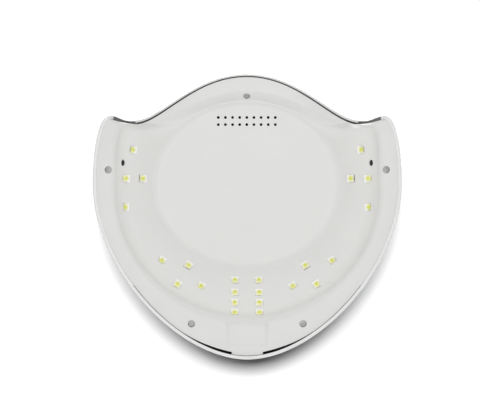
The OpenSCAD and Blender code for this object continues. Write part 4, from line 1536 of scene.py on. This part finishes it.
@dataclass
class KeyPanel:
    """The timer panel on the crown: bezel, three keys with numbers, and the pocket that they sit in."""

    station: float = 0.57
    bezel_length: float = 45.0
    bezel_width: float = 18.0
    bezel_thickness: float = 3.0
    bezel_corner: float = 4.0
    bezel_sink: float = 2.5
    bezel_gap: float = 0.3
    bezel_chamfer: float = 0.25
    tray_wall: float = 2.2
    tray_floor: float = 2.2
    pocket_step: float = 0.6
    pocket_top: float = 12.0
    key_diameter: float = 9.6
    key_pitch: float = 14.5
    key_rise: float = 1.2
    key_gap: float = 0.35
    key_flange: float = 1.0
    key_y: float = 1.2
    flange_drop: float = 1.25
    flange_height: float = 0.8
    post_radius: float = 2.3
    post_reach: float = 0.6
    dish: tuple[tuple[float, float, float], ...] = ((0.72, 0.02, 0.8), (0.35, 0.22, 0.9), (0.0, 0.26, 0.0))
    lens_y: float = -6.3
    lens_diameter: float = 2.0
    lens_gap: float = 0.1
    numbers: tuple[str, ...] = ("10", "30", "60")
    number_size: float = 4.4
    number_depth: float = 0.06
    number_weight: float = 0.04
    number_sink: float = 0.21

    @cached_property
    def place(self) -> Matrix:
        """The panel's frame on the crown line, in millimetres.

        Returns:
            The frame.
        """
        y = -self.station * COARSE.half_depth
        tilt = math.atan((COARSE.crown_line(y + 1) - COARSE.crown_line(y - 1)) / 2)
        return Matrix.Translation((0, y, COARSE.crown_line(y))) @ Matrix.Rotation(tilt, 4, "X")

    @property
    def columns(self) -> dict[str, float]:
        """Each key's place along the panel."""
        return {"left": -self.key_pitch, "middle": 0.0, "right": self.key_pitch}

    def _outline(self, margin: float) -> Points:
        """The bezel's outline with a margin all round."""
        size = self.bezel_length + 2 * margin, self.bezel_width + 2 * margin
        return rounded_rectangle(*size, self.bezel_corner + margin)

    def pocket(self) -> bpy.types.Object:
        """The cutter that opens the cover for the bezel."""
        floor = -self.bezel_sink - self.bezel_thickness + self.pocket_step
        return prism("pocket", self._outline(self.bezel_gap), floor, self.pocket_top, self.place)

    def tray(self, shell: Underside) -> bpy.types.Object:
        """The cup under the bezel, a part of the cover's moulding.

        Args:
            shell: the cover's search tree.

        Returns:
            The cup.
        """
        inner, outer = self._outline(self.bezel_gap), self._outline(self.tray_wall)
        floor = self.place @ Matrix.Translation((0, 0, -self.bezel_sink - self.bezel_thickness))
        return shell.tube("tray", inner, outer, floor, self.tray_floor, COVER_SINK)

    def build_bezel(self) -> bpy.types.Object:
        """The bezel with its key and lens holes and a small chamfer all round.

        Returns:
            The bezel as a plain mesh.
        """
        chamfer = self.bezel_chamfer
        curve = bpy.data.curves.new("bezel", "CURVE")
        curve.dimensions = "2D"
        curve.fill_mode = "BOTH"
        curve.extrude = (self.bezel_thickness / 2 - chamfer) * MM
        curve.bevel_depth = chamfer * MM
        curve.bevel_resolution = 2
        curve.offset = -chamfer * MM
        outlines = [self._outline(0.0)]
        for x in self.columns.values():
            outlines.append(circle(self.key_diameter / 2 + self.key_gap, 56) + (x, self.key_y))
            outlines.append(circle(self.lens_diameter / 2 + self.lens_gap, 24) + (x, self.lens_y))
        for outline in outlines:
            spline = curve.splines.new("POLY")
            spline.points.add(len(outline) - 1)
            spline.use_cyclic_u = True
            for point, (x, y) in zip(spline.points, outline):
                point.co = (x * MM, y * MM, 0, 1)
        piece = flatten_curve(curve, "key_bezel")
        middle = self.place @ Matrix.Translation((0, 0, -self.bezel_sink - self.bezel_thickness / 2))
        piece.data.transform(metric(middle))
        tidy(piece.data)
        return smooth(piece, 50)

    def build_key(self, label: str) -> bpy.types.Object:
        """One key: a dished cap with rounded edges, on its flange and post.

        Args:
            label: which key.

        Returns:
            The key.
        """
        radius = self.key_diameter / 2
        top = -self.bezel_sink + self.key_rise
        post, flange = self.post_radius, radius + self.key_flange
        flange_top = -self.bezel_sink - self.flange_drop
        flange_low = flange_top - self.flange_height
        post_end = -self.bezel_sink - self.bezel_thickness - self.tray_floor - self.post_reach
        profile = (
            (0, post_end, 0), (post, post_end, 0.3), (post, flange_low, 0.2),
            (flange, flange_low, 0.15), (flange, flange_top, 0.15),
            (radius, flange_top, 0.1), (radius, top, 0.7),
            *((share * radius, top - depth, rounding) for share, depth, rounding in self.dish),
        )
        place = self.place @ Matrix.Translation((self.columns[label], self.key_y, 0))
        return smooth(turned(f"timer_key_{label}", profile, place, 72), 40)

    def build_number(self, label: str, text: str) -> bpy.types.Object:
        """The number on a key, laid on its dished top.

        Args:
            label: which key.
            text: the minutes or seconds that it stands for.

        Returns:
            The raised figures as a plain mesh.
        """
        curve = bpy.data.curves.new("number", "FONT")
        curve.body = text
        curve.align_x = "CENTER"
        curve.align_y = "CENTER"
        curve.size = self.number_size * MM
        curve.extrude = self.number_depth * MM
        curve.offset = self.number_weight * MM
        piece = flatten_curve(curve, f"number_{label}")
        top = -self.bezel_sink + self.key_rise - self.number_sink
        piece.data.transform(metric(self.place @ Matrix.Translation((self.columns[label], self.key_y, top))))
        return piece

    def build(self) -> None:
        """Builds and dresses the panel's pieces."""
        BOOK.dress(self.build_bezel(), PANEL_BLACK, replaces=["button_bezel"])
        for label, text in zip(self.columns, self.numbers):
            body = f"key_{label}"
            BOOK.dress(self.build_key(label), KEY_GREY, body, [body])
            BOOK.dress(self.build_number(label, text), LEGEND_INK, body)


def metric(place: Matrix) -> Matrix:
    """A frame in millimetres turned into one in metres.

    Args:
        place: a frame in millimetres.

    Returns:
        The same frame in metres.
    """
    result = place.copy()
    result.translation = place.translation * MM
    return result


@dataclass
class PowerInlet:
    """The socket at the rear: collar, barrel, centre pin and the pocket in the cover."""

    face: float = 0.95
    height: float = 17.0
    pocket_diameter: float = 16.0
    pocket_wall: float = 2.0
    pad: float = 2.6
    collar: float = 11.0
    collar_depth: float = 1.6
    barrel: float = 8.0
    mouth: float = 5.7
    mouth_depth: float = 9.6
    mouth_lip: float = 0.35
    pin: float = 2.0
    pin_top: float = 0.4
    pin_base: float = 1.4
    pin_base_sink: float = 0.3
    pin_base_rise: float = 0.25
    length: float = 15.0

    @cached_property
    def place(self) -> Matrix:
        """The socket's frame, whose z runs out towards the rear."""
        y = self.face * COARSE.half_depth
        return Matrix.Translation((0, y, self.height)) @ Matrix.Rotation(-math.pi / 2, 4, "X")

    def pocket(self) -> bpy.types.Object:
        """The cutter that opens the cover for the collar."""
        outline = circle(self.pocket_diameter / 2, 64)
        return prism("jack_pocket", outline, low=-1.0, high=14.0, place=self.place)

    def cup(self, shell: Underside) -> bpy.types.Object:
        """The pocket's wall and floor, a part of the cover's moulding.

        Args:
            shell: the cover's search tree.

        Returns:
            The cup.
        """
        inner = circle(self.pocket_diameter / 2, 64)
        outer = circle(self.pocket_diameter / 2 + self.pocket_wall, 64)
        return shell.tube("jack_cup", inner, outer, self.place, self.pad, COVER_SINK)

    def build(self) -> None:
        """Builds and dresses the socket and its pin."""
        rim, mouth, barrel = self.collar / 2, self.mouth / 2, self.barrel / 2
        top, lip, floor = self.collar_depth, self.mouth_lip, self.collar_depth - self.mouth_depth
        body = turned("socket_body", (
            (0, -self.length, 0), (barrel, -self.length, 0.2), (barrel, 0, 0), (rim, 0, 0.1),
            (rim, top, 0.4), (mouth + lip, top, 0.05), (mouth, top - lip, 0.05),
            (mouth, floor, 0.1), (0, floor, 0),
        ), self.place, 64)
        BOOK.dress(smooth(body, 35), SOCKET_BLACK, replaces=["power_socket"])
        radius, base = self.pin / 2, self.pin_base
        low, step = floor - self.pin_base_sink, floor + self.pin_base_rise
        pin = turned("centre_pin", (
            (0, low, 0), (base, low, 0.1), (base, step, 0.2), (radius, step, 0.1),
            (radius, self.pin_top, 0.75), (0, self.pin_top, 0),
        ), self.place, 40)
        BOOK.dress(smooth(pin, 50), PLATING, replaces=["socket_pin"])


@dataclass
class Cover:
    """The outer moulding: dome, rounded rim, key tray, socket pocket and screw posts."""

    panel: KeyPanel
    inlet: PowerInlet
    edge_radius: float = 0.7
    inner_radius: float = 0.2
    outer_rows: int = 56
    outer_span: float = 0.985
    outer_ease: float = 0.85
    inner_rows: int = 24
    inner_start: float = 0.02
    inner_ease: float = 1.15
    bend_points: int = 7

    def _profile(self) -> bpy.types.Object:
        """The rows of the dome, from the crown outside round the rim to the crown inside.

        Returns:
            Points that carry the depth, share and lift of each row.
        """
        wall, radius, inner = FINE.shell_wall, self.edge_radius, self.inner_radius
        outside = 1 - (np.linspace(0, 1, self.outer_rows) ** self.outer_ease) * self.outer_span
        inside = np.linspace(0, 1, self.inner_rows) ** self.inner_ease
        bend = np.linspace(0, math.pi / 2, self.bend_points)
        rows = [(0.0, share, 0.0) for share in outside]
        rows += [(radius * (1 - math.cos(a)), 0.0, radius * (1 - math.sin(a))) for a in bend]
        rows += [(wall - inner * (1 - math.sin(a)), 0.0, inner * (1 - math.cos(a))) for a in bend]
        rows += [(wall, share, 0.0) for share in self.inner_start + (1 - self.inner_start) * inside]
        depth, share, lift = np.array(rows).T
        return place_points("profile", [(0, 0, 0)] * len(rows), depth=depth * MM, share=share, lift=lift * MM)

    def _rim(self) -> bpy.types.Object:
        """The rim's points with the directions that the dome tree reads."""
        return place_points("rim", (FINE.edge * MM).tolist(), into=FINE.into, over=FINE.over)

    def build(self) -> None:
        """Builds and dresses the cover."""
        profile = self._profile()
        dome = DOME_TREE.graph.run(
            self._rim(), "dome", height=FINE.height * MM, roundness=FINE.roundness,
            squareness=FINE.squareness, middle=FINE.centre * MM, profile=profile, finish=BOOK[COVER_GLOSS])
        discard(profile)
        tidy(dome.data)
        points = np.array([v.co / MM for v in dome.data.vertices])
        shell = Underside(points, [tuple(p.vertices) for p in dome.data.polygons])
        extras = [self.panel.tray(shell), self.inlet.cup(shell)]
        for name, outline, place in CaseScrews().posts():
            extras.append(shell.post(name, outline, place, COVER_SINK))
        cutter = join("cover_cutter", self.panel.pocket(), self.inlet.pocket())
        opened = cut(dome, cutter, "opened_dome")
        piece = join("cover_shell", opened, *extras)
        # Painted shade: the cover's inner faces that look at the liner are marked for darkening.
        mark_painted_shade(piece, FINE.centre, outwards=False)
        BOOK.dress(smooth(piece, 30), COVER_GLOSS, replaces=["outer_shell"])


@dataclass
class CaseScrews:
    """Five cross-recess screws that hold the liner to the cover, and the wells and posts at them."""

    head: float = 4.6
    head_height: float = 4.6
    shank: float = 2.9
    length: float = 9.0
    well_gap: float = 0.06
    well_wall: float = 1.5
    well_sink: float = -0.5
    seat_wall: float = 2.0
    well_depth: float = 6.5
    post_gap: float = 0.3
    post_wall: float = 2.0
    point: float = 1.2
    cross_length: float = 2.8
    cross_width: float = 0.6
    cross_depth: float = 0.9
    turns: tuple[float, ...] = (0.3, 1.0, 0.1, 0.7, 0.5)

    @property
    def seats(self) -> list[Points]:
        """The middle of each screw's seat.

        Returns:
            One point for each screw.
        """
        side = 0.9 * COARSE.half_width, -0.278 * COARSE.half_depth
        rear = 0.361 * COARSE.half_width, 0.76 * COARSE.half_depth
        low = COARSE.flange_height + self.well_depth
        spots = [(sign * x, y, low) for x, y in (side, rear) for sign in (1, -1)]
        spots.append((0.0, -0.826 * COARSE.half_depth, 0.945 * COARSE.visor))
        return [np.array(s) for s in spots]

    @property
    def well_radius(self) -> float:
        """The wells' inner radius."""
        return self.head / 2 + self.well_gap

    def posts(self) -> list[tuple[str, Points, Matrix]]:
        """Each cover post's name, outline and frame.

        Returns:
            One entry for each screw.
        """
        outline = circle(self.shank / 2 + self.post_wall, 32)
        base = (self.seat_wall + self.post_gap) * UP
        return [(f"post_{k}", outline, Matrix.Translation(seat + base)) for k, seat in enumerate(self.seats)]

    def wells(self, liner: Underside) -> list[bpy.types.Object]:
        """The liner's wells, which open downwards.

        Args:
            liner: the liner's visible face.

        Returns:
            One cup for each screw.
        """
        inner, outer = circle(self.well_radius, 48), circle(self.well_radius + self.well_wall, 48)
        cups = []
        for k, seat in enumerate(self.seats):
            place = Matrix.Translation(seat) @ Matrix.Rotation(math.pi, 4, "X")
            cups.append(liner.tube(f"well_{k}", inner, outer, place, self.seat_wall, self.well_sink))
        return cups

    def cutters(self) -> list[bpy.types.Object]:
        """The cutters that open the liner at the wells.

        Returns:
            One cutter for each screw.
        """
        outline = circle(self.well_radius, 48)
        return [
            prism(f"well_cutter_{k}", outline, low=-20.0, high=-0.6, place=Matrix.Translation(seat))
            for k, seat in enumerate(self.seats)
        ]

    def _model(self) -> bpy.types.Object:
        """One screw with its head towards +Z and its seat at the origin.

        Returns:
            The screw.
        """
        radius, shank = self.head / 2, self.shank / 2
        body = turned("screw", (
            (0, -self.length, 0), (0.5 * shank, -self.length, 0.1), (shank, self.point - self.length, 0.3),
            (shank, 0, 0), (radius, 0, 0.15), (radius, self.head_height - 0.12, 0.2),
            (0, self.head_height, 0),
        ), HERE, 40)
        outline = rounded_rectangle(self.cross_length, self.cross_width, radius=0.2, steps=4)
        low, high = self.head_height - self.cross_depth, self.head_height + 1
        for k in range(2):
            turn = Matrix.Rotation(k * math.pi / 2, 4, "Z")
            body = cut(body, prism(f"arm_{k}", outline, low, high, turn), "screw")
        return smooth(body, 35)

    def build(self) -> None:
        """Builds and dresses the screws."""
        down = Matrix.Rotation(math.pi, 4, "X")
        frames = [
            Matrix.Translation(seat) @ down @ Matrix.Rotation(turn, 4, "Z")
            for seat, turn in zip(self.seats, self.turns)
        ]
        piece = SCATTER_TREE.run(self._model(), frames, "cross_screws", SCREW_NICKEL)
        BOOK.dress(piece, SCREW_NICKEL, replaces=["case_screws"])


@dataclass
class Lights:
    """The 24 light packages and the two hand sensors behind the chamber wall."""

    size: float = 5.2
    height: float = 2.1
    lens: float = 4.5
    dome: float = 1.3
    recess: float = 0.7
    lens_slide: float = -0.35
    lens_sink: float = 0.16
    seat_depth: float = 0.18
    seat_gap: float = 0.08
    window_gap: float = 0.12
    sensor: tuple[float, float] = (5.4, -14.6)
    sensor_hole: float = 4.4
    sensor_gap: float = 0.08
    sensor_tip: float = -0.3
    sensor_rounding: float = 0.4
    nodes: tuple[str, ...] = ("leds_left", "leds_right", "leds_rear_left", "leds_rear_right", "leds_rear")

    def frames(self, tilted: bool) -> list[Matrix]:
        """A frame at each package.

        Args:
            tilted: whether the frame leans down towards the hand, as the package does in its window.

        Returns:
            Right-handed frames, whose z runs out of the face.
        """
        result = []
        for layout in LAYOUTS:
            lean = Matrix.Rotation(math.radians(layout.tilt), 4, "X")
            rise = Matrix.Translation((0, 0, layout.rise))
            for board in layout.frames():
                for x, y in layout.spots:
                    place = board @ Matrix.Translation((x, y + layout.slide, 0))
                    result.append(place @ rise @ lean if tilted else place)
        return proper(result)

    @property
    def sensor_frames(self) -> dict[Side, Matrix]:
        """A frame at each hand sensor.

        Returns:
            The frames by side.
        """
        right, left = LAYOUTS[0].frames()
        shift = Matrix.Translation((*self.sensor, 0))
        return {Side.RIGHT: right @ shift, Side.LEFT: left @ shift}

    def cutters(self) -> list[bpy.types.Object]:
        """The cutters of the windows and the sensor holes.

        Returns:
            One object for the windows and one for the holes.
        """
        size = 2 * (self.size / 2 + self.window_gap)
        square = rounded_rectangle(size, size, radius=0.35, steps=3)
        window = prism("window", square, low=-7.0, high=5.0, place=HERE)
        hole = prism("hole", circle(self.sensor_hole / 2), low=-7.0, high=4.0, place=HERE)
        return [
            SCATTER_TREE.run(window, self.frames(False), "window_cutter"),
            SCATTER_TREE.run(hole, proper(list(self.sensor_frames.values())), "sensor_cutter"),
        ]

    def _package(self) -> bpy.types.Object:
        """One package: a square body with soft edges and a shallow round seat for its lens.

        Returns:
            The package.
        """
        square = rounded_rectangle(self.size, self.size, radius=0.3, steps=4)
        body = prism("package", square, -self.height, 0.0, HERE)
        place = Matrix.Translation((0, self.lens_slide, 0))
        seat = prism("seat", circle(self.lens / 2 + self.seat_gap), -self.seat_depth, 2.0, place)
        return smooth(cut(body, seat, "package"), 35)

    def _lens(self) -> bpy.types.Object:
        """One lens: a low gel dome whose points know their distance from its axis.

        Returns:
            The lens.
        """
        edge = self.lens / 2
        radius = (edge**2 + self.dome**2) / (2 * self.dome)
        span = math.asin(edge / radius)
        base = -self.lens_sink
        corners = [(0.0, base, 0.0), (edge, base, 0.0)]
        corners += [
            (radius * math.sin(a), self.dome - radius * (1 - math.cos(a)), 0.0)
            for a in np.linspace(span, 0, 9)
        ]
        piece = turned("lens", corners, HERE, 32)
        values = [math.hypot(v.co.x, v.co.y) / (edge * MM) for v in piece.data.vertices]
        piece.data.attributes.new("reach", "FLOAT", "POINT").data.foreach_set("value", values)
        return smooth(piece, 50)

    def build(self) -> None:
        """Builds and dresses the packages, the lenses and the sensors."""
        frames = self.frames(True)
        packages = SCATTER_TREE.run(self._package(), frames, "light_packages", PACKAGE_WHITE, -self.recess)
        BOOK.dress(packages, PACKAGE_WHITE, replaces=self.nodes)
        lens_frames = [place @ Matrix.Translation((0, self.lens_slide, 0)) for place in frames]
        lenses = SCATTER_TREE.run(self._lens(), lens_frames, "light_lenses", GEL, -self.recess)
        BOOK.dress(lenses, GEL, replaces=self.nodes)
        radius, tip = self.sensor_hole / 2 - self.sensor_gap, self.sensor_tip
        low, shoulder = -self.recess - self.height, tip - self.sensor_rounding
        profile = ((0, low, 0), (radius, low, 0.05), (radius, shoulder, 0.3), (0, tip, 0))
        for side, node in ((Side.LEFT, "ir_emitter"), (Side.RIGHT, "ir_receiver")):
            place = proper([self.sensor_frames[side]])[0]
            body = turned(f"hand_{node}", profile, place, 40)
            BOOK.dress(smooth(body, 50), SENSOR_BLACK, replaces=[node])


def proper(frames: Sequence[Matrix]) -> list[Matrix]:
    """Turns mirrored frames into right-handed ones with the same face and origin.

    Args:
        frames: frames of either hand.

    Returns:
        Right-handed frames, in the same order.
    """
    result = []
    for place in frames:
        if place.determinant() < 0:
            place = place @ Matrix.Diagonal((-1, 1, 1, 1))
        result.append(place)
    return result


@dataclass
class Liner:
    """The chamber moulding: flange, wall and ceiling, with windows, vents, wells, recess and slit."""

    lights: Lights
    screws: CaseScrews
    # How far below the dome's middle, in millimetres, lies the point that the painted shade's facing is
    # judged from.
    hidden_centre: float = -60.0
    reach: tuple[float, ...] = (0, 6, 4.5, 9, 8, 9, 5, 6, 14, 0)
    fill: tuple[int, ...] = (1, 2, 1, 4, 4, 0, 1, 3, 6, 0)
    samples: int = 7
    slit_width: float = 1.45
    slit_reach: float = 50.0
    slit_tab: float = 19.4
    slit_ease: float = 0.7
    slit_overlap: float = 0.4
    recess_width: float = 28.0
    recess_length: float = 14.8
    recess_depth: float = 0.78
    recess_drop: float = 0.1
    recess_taper: float = 1.8
    recess_slope: float = 5.0
    recess_station: float = 0.757
    vent_diameter: float = 2.0
    vent_columns: int = 9
    vent_rows: int = 2
    vent_pitch: float = 5.07
    vent_station: float = 0.668
    post_radius: float = 2.1
    post_sink: float = -0.8

    def _skin(self) -> tuple[bpy.types.Object, Underside]:
        """The bare liner and a search tree of its visible face.

        Returns:
            The liner and the search tree.
        """
        front = rounded_path(FINE.liner_rows, self.reach, self.samples, self.fill)
        back = rounded_path(FINE.liner_back_rows, self.reach, self.samples, self.fill)
        rows, columns = front.shape[:2]
        face = Underside(front.reshape(-1, 3), strip_faces(rows, columns))
        rings = np.concatenate([back[::-1], front])
        faces = strip_faces(len(rings), columns)
        return make_mesh("liner_skin", rings.reshape(-1, 3), faces), face

    def _vents(self) -> bpy.types.Object:
        """The cutter of the vent rows.

        Returns:
            One object for all vents.
        """
        model = prism("vent", circle(self.vent_diameter / 2, 24), low=-2.0, high=8.0, place=HERE)
        middle = (self.vent_columns - 1) / 2
        front = -self.vent_station * FINE.half_depth
        frames = [
            Matrix.Translation(((k - middle) * self.vent_pitch, front + row * self.vent_pitch, FINE.ceiling))
            for row in range(self.vent_rows) for k in range(self.vent_columns)
        ]
        return SCATTER_TREE.run(model, frames, "vent_cutter")

    def _recess(self) -> bpy.types.Object:
        """The cutter of the label recess, deeper at its front side.

        Returns:
            The cutter.
        """
        front, rear = self.recess_width / 2, (self.recess_width - self.recess_taper) / 2
        corners = np.array([[-front, 0], [front, 0], [rear, self.recess_length], [-rear, self.recess_length]])
        floor = FINE.crease_height + self.recess_depth - self.recess_drop
        place = Matrix.Translation((0, self.recess_station * FINE.half_depth, floor))
        turn = Matrix.Rotation(math.radians(-self.recess_slope), 4, "X")
        return prism("recess_cutter", corners, low=-4.0, high=0.0, place=place @ turn)

    def _slit(self) -> list[bpy.types.Object]:
        """The cutters that widen the gap to the cover at both sides of the tab.

        Returns:
            One cutter for each side.
        """
        keep = [i for i in range(FINE.steps[0]) if 0.5 * self.slit_tab < FINE.edge[i, 0] < self.slit_reach]
        share = np.clip((self.slit_reach - FINE.edge[keep, 0]) / (self.slit_reach * self.slit_ease), 0, 1)
        opening = (self.slit_width * share**2 * (3 - 2 * share))[:, None]
        near = FINE.edge[keep] + (FINE.shell_wall - self.slit_overlap) * FINE.into[keep]
        far = FINE.edge[keep] + (FINE.shell_wall + FINE.rear_gap + opening) * FINE.into[keep]
        outline = np.concatenate([near, far[::-1]])[:, :2]
        mirrored = outline[::-1] * np.array([-1, 1])
        return [
            prism(f"slit_cutter_{k}", half, low=-1.0, high=5.0, place=HERE)
            for k, half in enumerate((outline, mirrored))
        ]

    def _board_posts(self, face: Underside) -> list[bpy.types.Object]:
        """The posts behind the wall that carry the light boards.

        Args:
            face: the liner's search tree.

        Returns:
            The posts.
        """
        posts = []
        outline = circle(self.post_radius, 24)
        start = -self.lights.recess - self.lights.height
        for layout in LAYOUTS:
            for board in proper(layout.frames()):
                mirror = -1 if board.translation.x < -1 else 1
                for x, y in layout.posts:
                    place = board @ Matrix.Translation((mirror * x, y, start))
                    posts.append(face.post(f"board_post_{len(posts)}", outline, place, self.post_sink))
        return posts

    def build(self) -> None:
        """Builds and dresses the liner."""
        skin, face = self._skin()
        extras = self.screws.wells(face) + self._board_posts(face)
        cutters = [*self.lights.cutters(), *self.screws.cutters()]
        cutters += [self._vents(), self._recess(), *self._slit()]
        opened = cut(skin, join("liner_cutter", *cutters), "opened_liner")
        piece = join("liner_shell", opened, *extras)
        # Painted shade: the liner's back faces that look at the cover are marked for darkening.
        mark_painted_shade(piece, FINE.centre + self.hidden_centre * UP, outwards=True)
        BOOK.dress(smooth(piece, 32), LINER_SATIN, replaces=["inner_liner"])


class Inside:
    """The boards, wiring and small parts that keep their frame meshes and get their finishes here."""

    FINISHES: dict[Any, tuple[str, ...]] = {
        WHITE_MASK: ("led_board_left", "led_board_right", "led_board_rear_left", "led_board_rear_right",
                     "led_board_rear"),
        GREEN_MASK: ("key_board", "control_board"),
        SCREW_NICKEL: ("led_board_screws", "key_board_screws", "control_screws"),
        SWITCH_TIN: ("tact_switches",),
        SWITCH_BLACK: ("stem_left", "stem_middle", "stem_right"),
        PACKAGE_WHITE: ("indicator_leds",),
        LIGHT_PIPE: ("indicator_lenses",),
        PLATING: ("socket_nut", "socket_lug"),
        CHIP_BLACK: ("driver_chips",),
        FERRITE: ("power_coil",),
        SLEEVE: ("filter_capacitors",),
        NYLON: ("wire_headers",),
        RED_JACKET: ("red_leads",),
        BLACK_JACKET: ("black_leads",),
        RIBBON_GREY: ("key_ribbon",),
    }

    def build(self) -> None:
        """Dresses the nodes that stay."""
        for finish, nodes in self.FINISHES.items():
            for node in nodes:
                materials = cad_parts[node].data.materials
                materials.clear()
                materials.append(BOOK[finish])


# ---------------------------------------------------------------- studio


@dataclass(frozen=True)
class Softbox:
    """One soft rectangular lamp that looks at the object."""

    name: str
    place: tuple[float, float, float]
    size: float
    watts: float

    def build(self, target: Vector) -> bpy.types.Object:
        """Makes the lamp.

        Args:
            target: the point that it faces.

        Returns:
            The lamp.
        """
        light = bpy.data.lights.new(self.name, "AREA")
        light.shape = "SQUARE"
        light.size = self.size
        light.energy = self.watts
        lamp = place_object(self.name, light)
        lamp.location = self.place
        lamp.rotation_euler = (target - Vector(self.place)).to_track_quat("-Z", "Y").to_euler()
        return lamp


@dataclass
class Studio:
    """Camera, soft lamps, pale world, and two one-sided grounds: one below and one behind the crown."""

    camera_place: tuple[float, float, float] = (-0.00485, -0.00635, -0.650)
    camera_lens: float = 73.2
    ambient: float = 0.35
    horizon: float = 1.45
    sky: float = 0.15
    sky_fade: tuple[float, float] = (-0.05, 0.15)
    mirrored_world: float = 0.6
    ground_size: float = 6.0
    ground_fade: tuple[float, float] = (0.16, 0.7)
    crown_gap: float = 0.0008
    shadow_angles: tuple[float, float] = (8.7, 16.5)
    shadow_distance: float = 3.0
    shadow_width: float = 0.8
    shadow_shift: float = -0.06
    shadow_watts: float = 1000.0
    boxes: tuple[Softbox, ...] = (
        Softbox("below_key", (0.0, 0.05, -1.30), 1.0, 6.8),
        Softbox("above_key", (-0.45, -0.60, 1.35), 0.8, 13.0),
        Softbox("above_fill", (0.60, 0.50, 1.20), 0.9, 5.0),
        Softbox("rear_fill", (0.30, 1.10, 0.80), 0.8, 3.0),
    )

    def build(self) -> None:
        """Builds the stage."""
        self._camera()
        self._world()
        target = (CAD_BOX[0] + CAD_BOX[1]) / 2
        for box in self.boxes:
            box.build(target)
        behind = CAD_BOX[1].z + self.crown_gap
        self._ground("floor", z=0.0, facing=1, albedo=0.9, grazing=0.97)
        backdrop = self._ground("backdrop", z=behind, facing=-1, albedo=0.1, grazing=0.5)
        self._shadow_light(backdrop)
        scene = bpy.context.scene
        scene.view_settings.view_transform = "Standard"

    def _camera(self) -> None:
        """The camera below the lamp, with the arch at the top of its picture."""
        data = bpy.data.cameras.new("camera")
        data.lens = self.camera_lens
        data.clip_start, data.clip_end = 0.01, 50.0
        camera = place_object("camera", data)
        camera.location = self.camera_place
        camera.rotation_euler = (math.pi, 0.0, 0.0)
        bpy.context.scene.camera = camera

    def _world(self) -> None:
        """A world that is white to the eye, and softer in reflections and in the object's light."""
        world = bpy.data.worlds.new("studio")
        world.use_nodes = True
        graph = NodeGraph(world.node_tree)
        world.node_tree.nodes.clear()
        path = graph.add("ShaderNodeLightPath").outputs
        _, _, rise = graph.split(graph.out(graph.add("ShaderNodeTexCoord"), "Generated"))
        low = graph.math("POWER", graph.math("SUBTRACT", 1.0, graph.math("ABSOLUTE", rise)), 2.0)
        even = graph.math("ADD", self.ambient, graph.math("MULTIPLY", low, self.horizon))
        soft = graph.math("MULTIPLY", even, graph.remap(rise, self.sky_fade, (1.0, self.sky)))
        mirrored = graph.choose(path["Is Glossy Ray"], self.mirrored_world, soft)
        strength = graph.choose(path["Is Camera Ray"], 1.0, mirrored)
        back = graph.add("ShaderNodeBackground", {"Color": (1, 1, 1, 1), "Strength": strength})
        graph.add("ShaderNodeOutputWorld", {"Surface": back.outputs[0]})
        bpy.context.scene.world = world

    def _shadow_light(self, backdrop: bpy.types.Object) -> None:
        """A lamp before and below the object that lights the backdrop alone and casts the shadow there.

        Args:
            backdrop: the ground that it lights.
        """
        lit = bpy.data.collections.new("backdrop_only")
        lit.objects.link(backdrop)
        near, far = (math.tan(math.radians(angle)) for angle in self.shadow_angles)
        crown = CAD_BOX[1].z
        place = (self.shadow_shift, -self.shadow_distance * (near + far) / 2, crown - self.shadow_distance)
        box = Softbox("shadow_light", place, self.shadow_width, self.shadow_watts)
        lamp = box.build(Vector((0.0, 0.0, crown)))
        lamp.data.shape = "RECTANGLE"
        lamp.data.size_y = self.shadow_distance * (far - near)
        lamp.light_linking.receiver_collection = lit
        lamp.visible_glossy = False

    def _ground(self, name: str, z: float, facing: int, albedo: float, grazing: float) -> bpy.types.Object:
        """A wide ground that shows only from the side that it faces, and that fades out to white.

        Args:
            name: the object's name.
            z: its height in metres.
            facing: 1 where it is seen from above, -1 from below.
            albedo: its lightness.
            grazing: how flat it may be seen before it is clear, from 0 straight on to 1 along it.

        Returns:
            The ground.
        """
        half = self.ground_size / 2
        mesh = bpy.data.meshes.new(name)
        corners = [(-half, -half, z), (half, -half, z), (half, half, z), (-half, half, z)]
        mesh.from_pydata(corners, [], [(0, 1, 2, 3) if facing > 0 else (3, 2, 1, 0)])
        ground = place_object(name, mesh)
        ground.data.materials.append(self._ground_material(name, albedo, grazing))
        ground.visible_shadow = False
        ground.visible_diffuse = False
        ground.visible_glossy = False
        return ground

    def _ground_material(self, name: str, albedo: float, grazing: float) -> bpy.types.Material:
        """Diffuse near the lamp, plain white far from it, and clear from behind or at a flat angle.

        Args:
            name: the ground's name.
            albedo: its lightness.
            grazing: how flat it may be seen before it is clear.

        Returns:
            The material.
        """
        graph = ShaderGraph(f"{name} white")
        lit = graph.add("ShaderNodeBsdfDiffuse", {"Color": (albedo, albedo, albedo, 1)})
        white = graph.add("ShaderNodeEmission", {"Color": (1, 1, 1, 1), "Strength": 1.0})
        x, y, _ = graph.split(graph.place)
        flat = graph.math("SQRT", graph.math("ADD", graph.math("POWER", x, 2.0), graph.math("POWER", y, 2.0)))
        fade = graph.remap(flat, self.ground_fade, (0.0, 1.0), "SMOOTHSTEP")
        seen = graph.add("ShaderNodeMixShader", {0: fade, 1: lit.outputs[0], 2: white.outputs[0]})
        clear = graph.add("ShaderNodeBsdfTransparent")
        behind = graph.out(graph.add("ShaderNodeNewGeometry"), "Backfacing")
        slant = graph.out(graph.add("ShaderNodeLayerWeight", {"Blend": 0.5}), "Facing")
        hidden = graph.math("MAXIMUM", behind, graph.math("GREATER_THAN", slant, grazing))
        sided = graph.add("ShaderNodeMixShader", {0: hidden, 1: seen.outputs[0], 2: clear.outputs[0]})
        graph.feed(graph.output, "Surface", sided.outputs[0])
        return graph.material


# ---------------------------------------------------------------- making


def main() -> None:
    """Builds the stage and every piece, in order."""
    logging.basicConfig(level=logging.INFO, format="%(message)s")
    panel, inlet, screws, lights = KeyPanel(), PowerInlet(), CaseScrews(), Lights()
    moulded = Cover(panel, inlet), Liner(lights, screws)
    for part in (Studio(), *moulded, lights, screws, panel, inlet, Inside()):
        part.build()
        LOG.info("built %s", type(part).__name__)


if __name__ == "__main__":
    main()
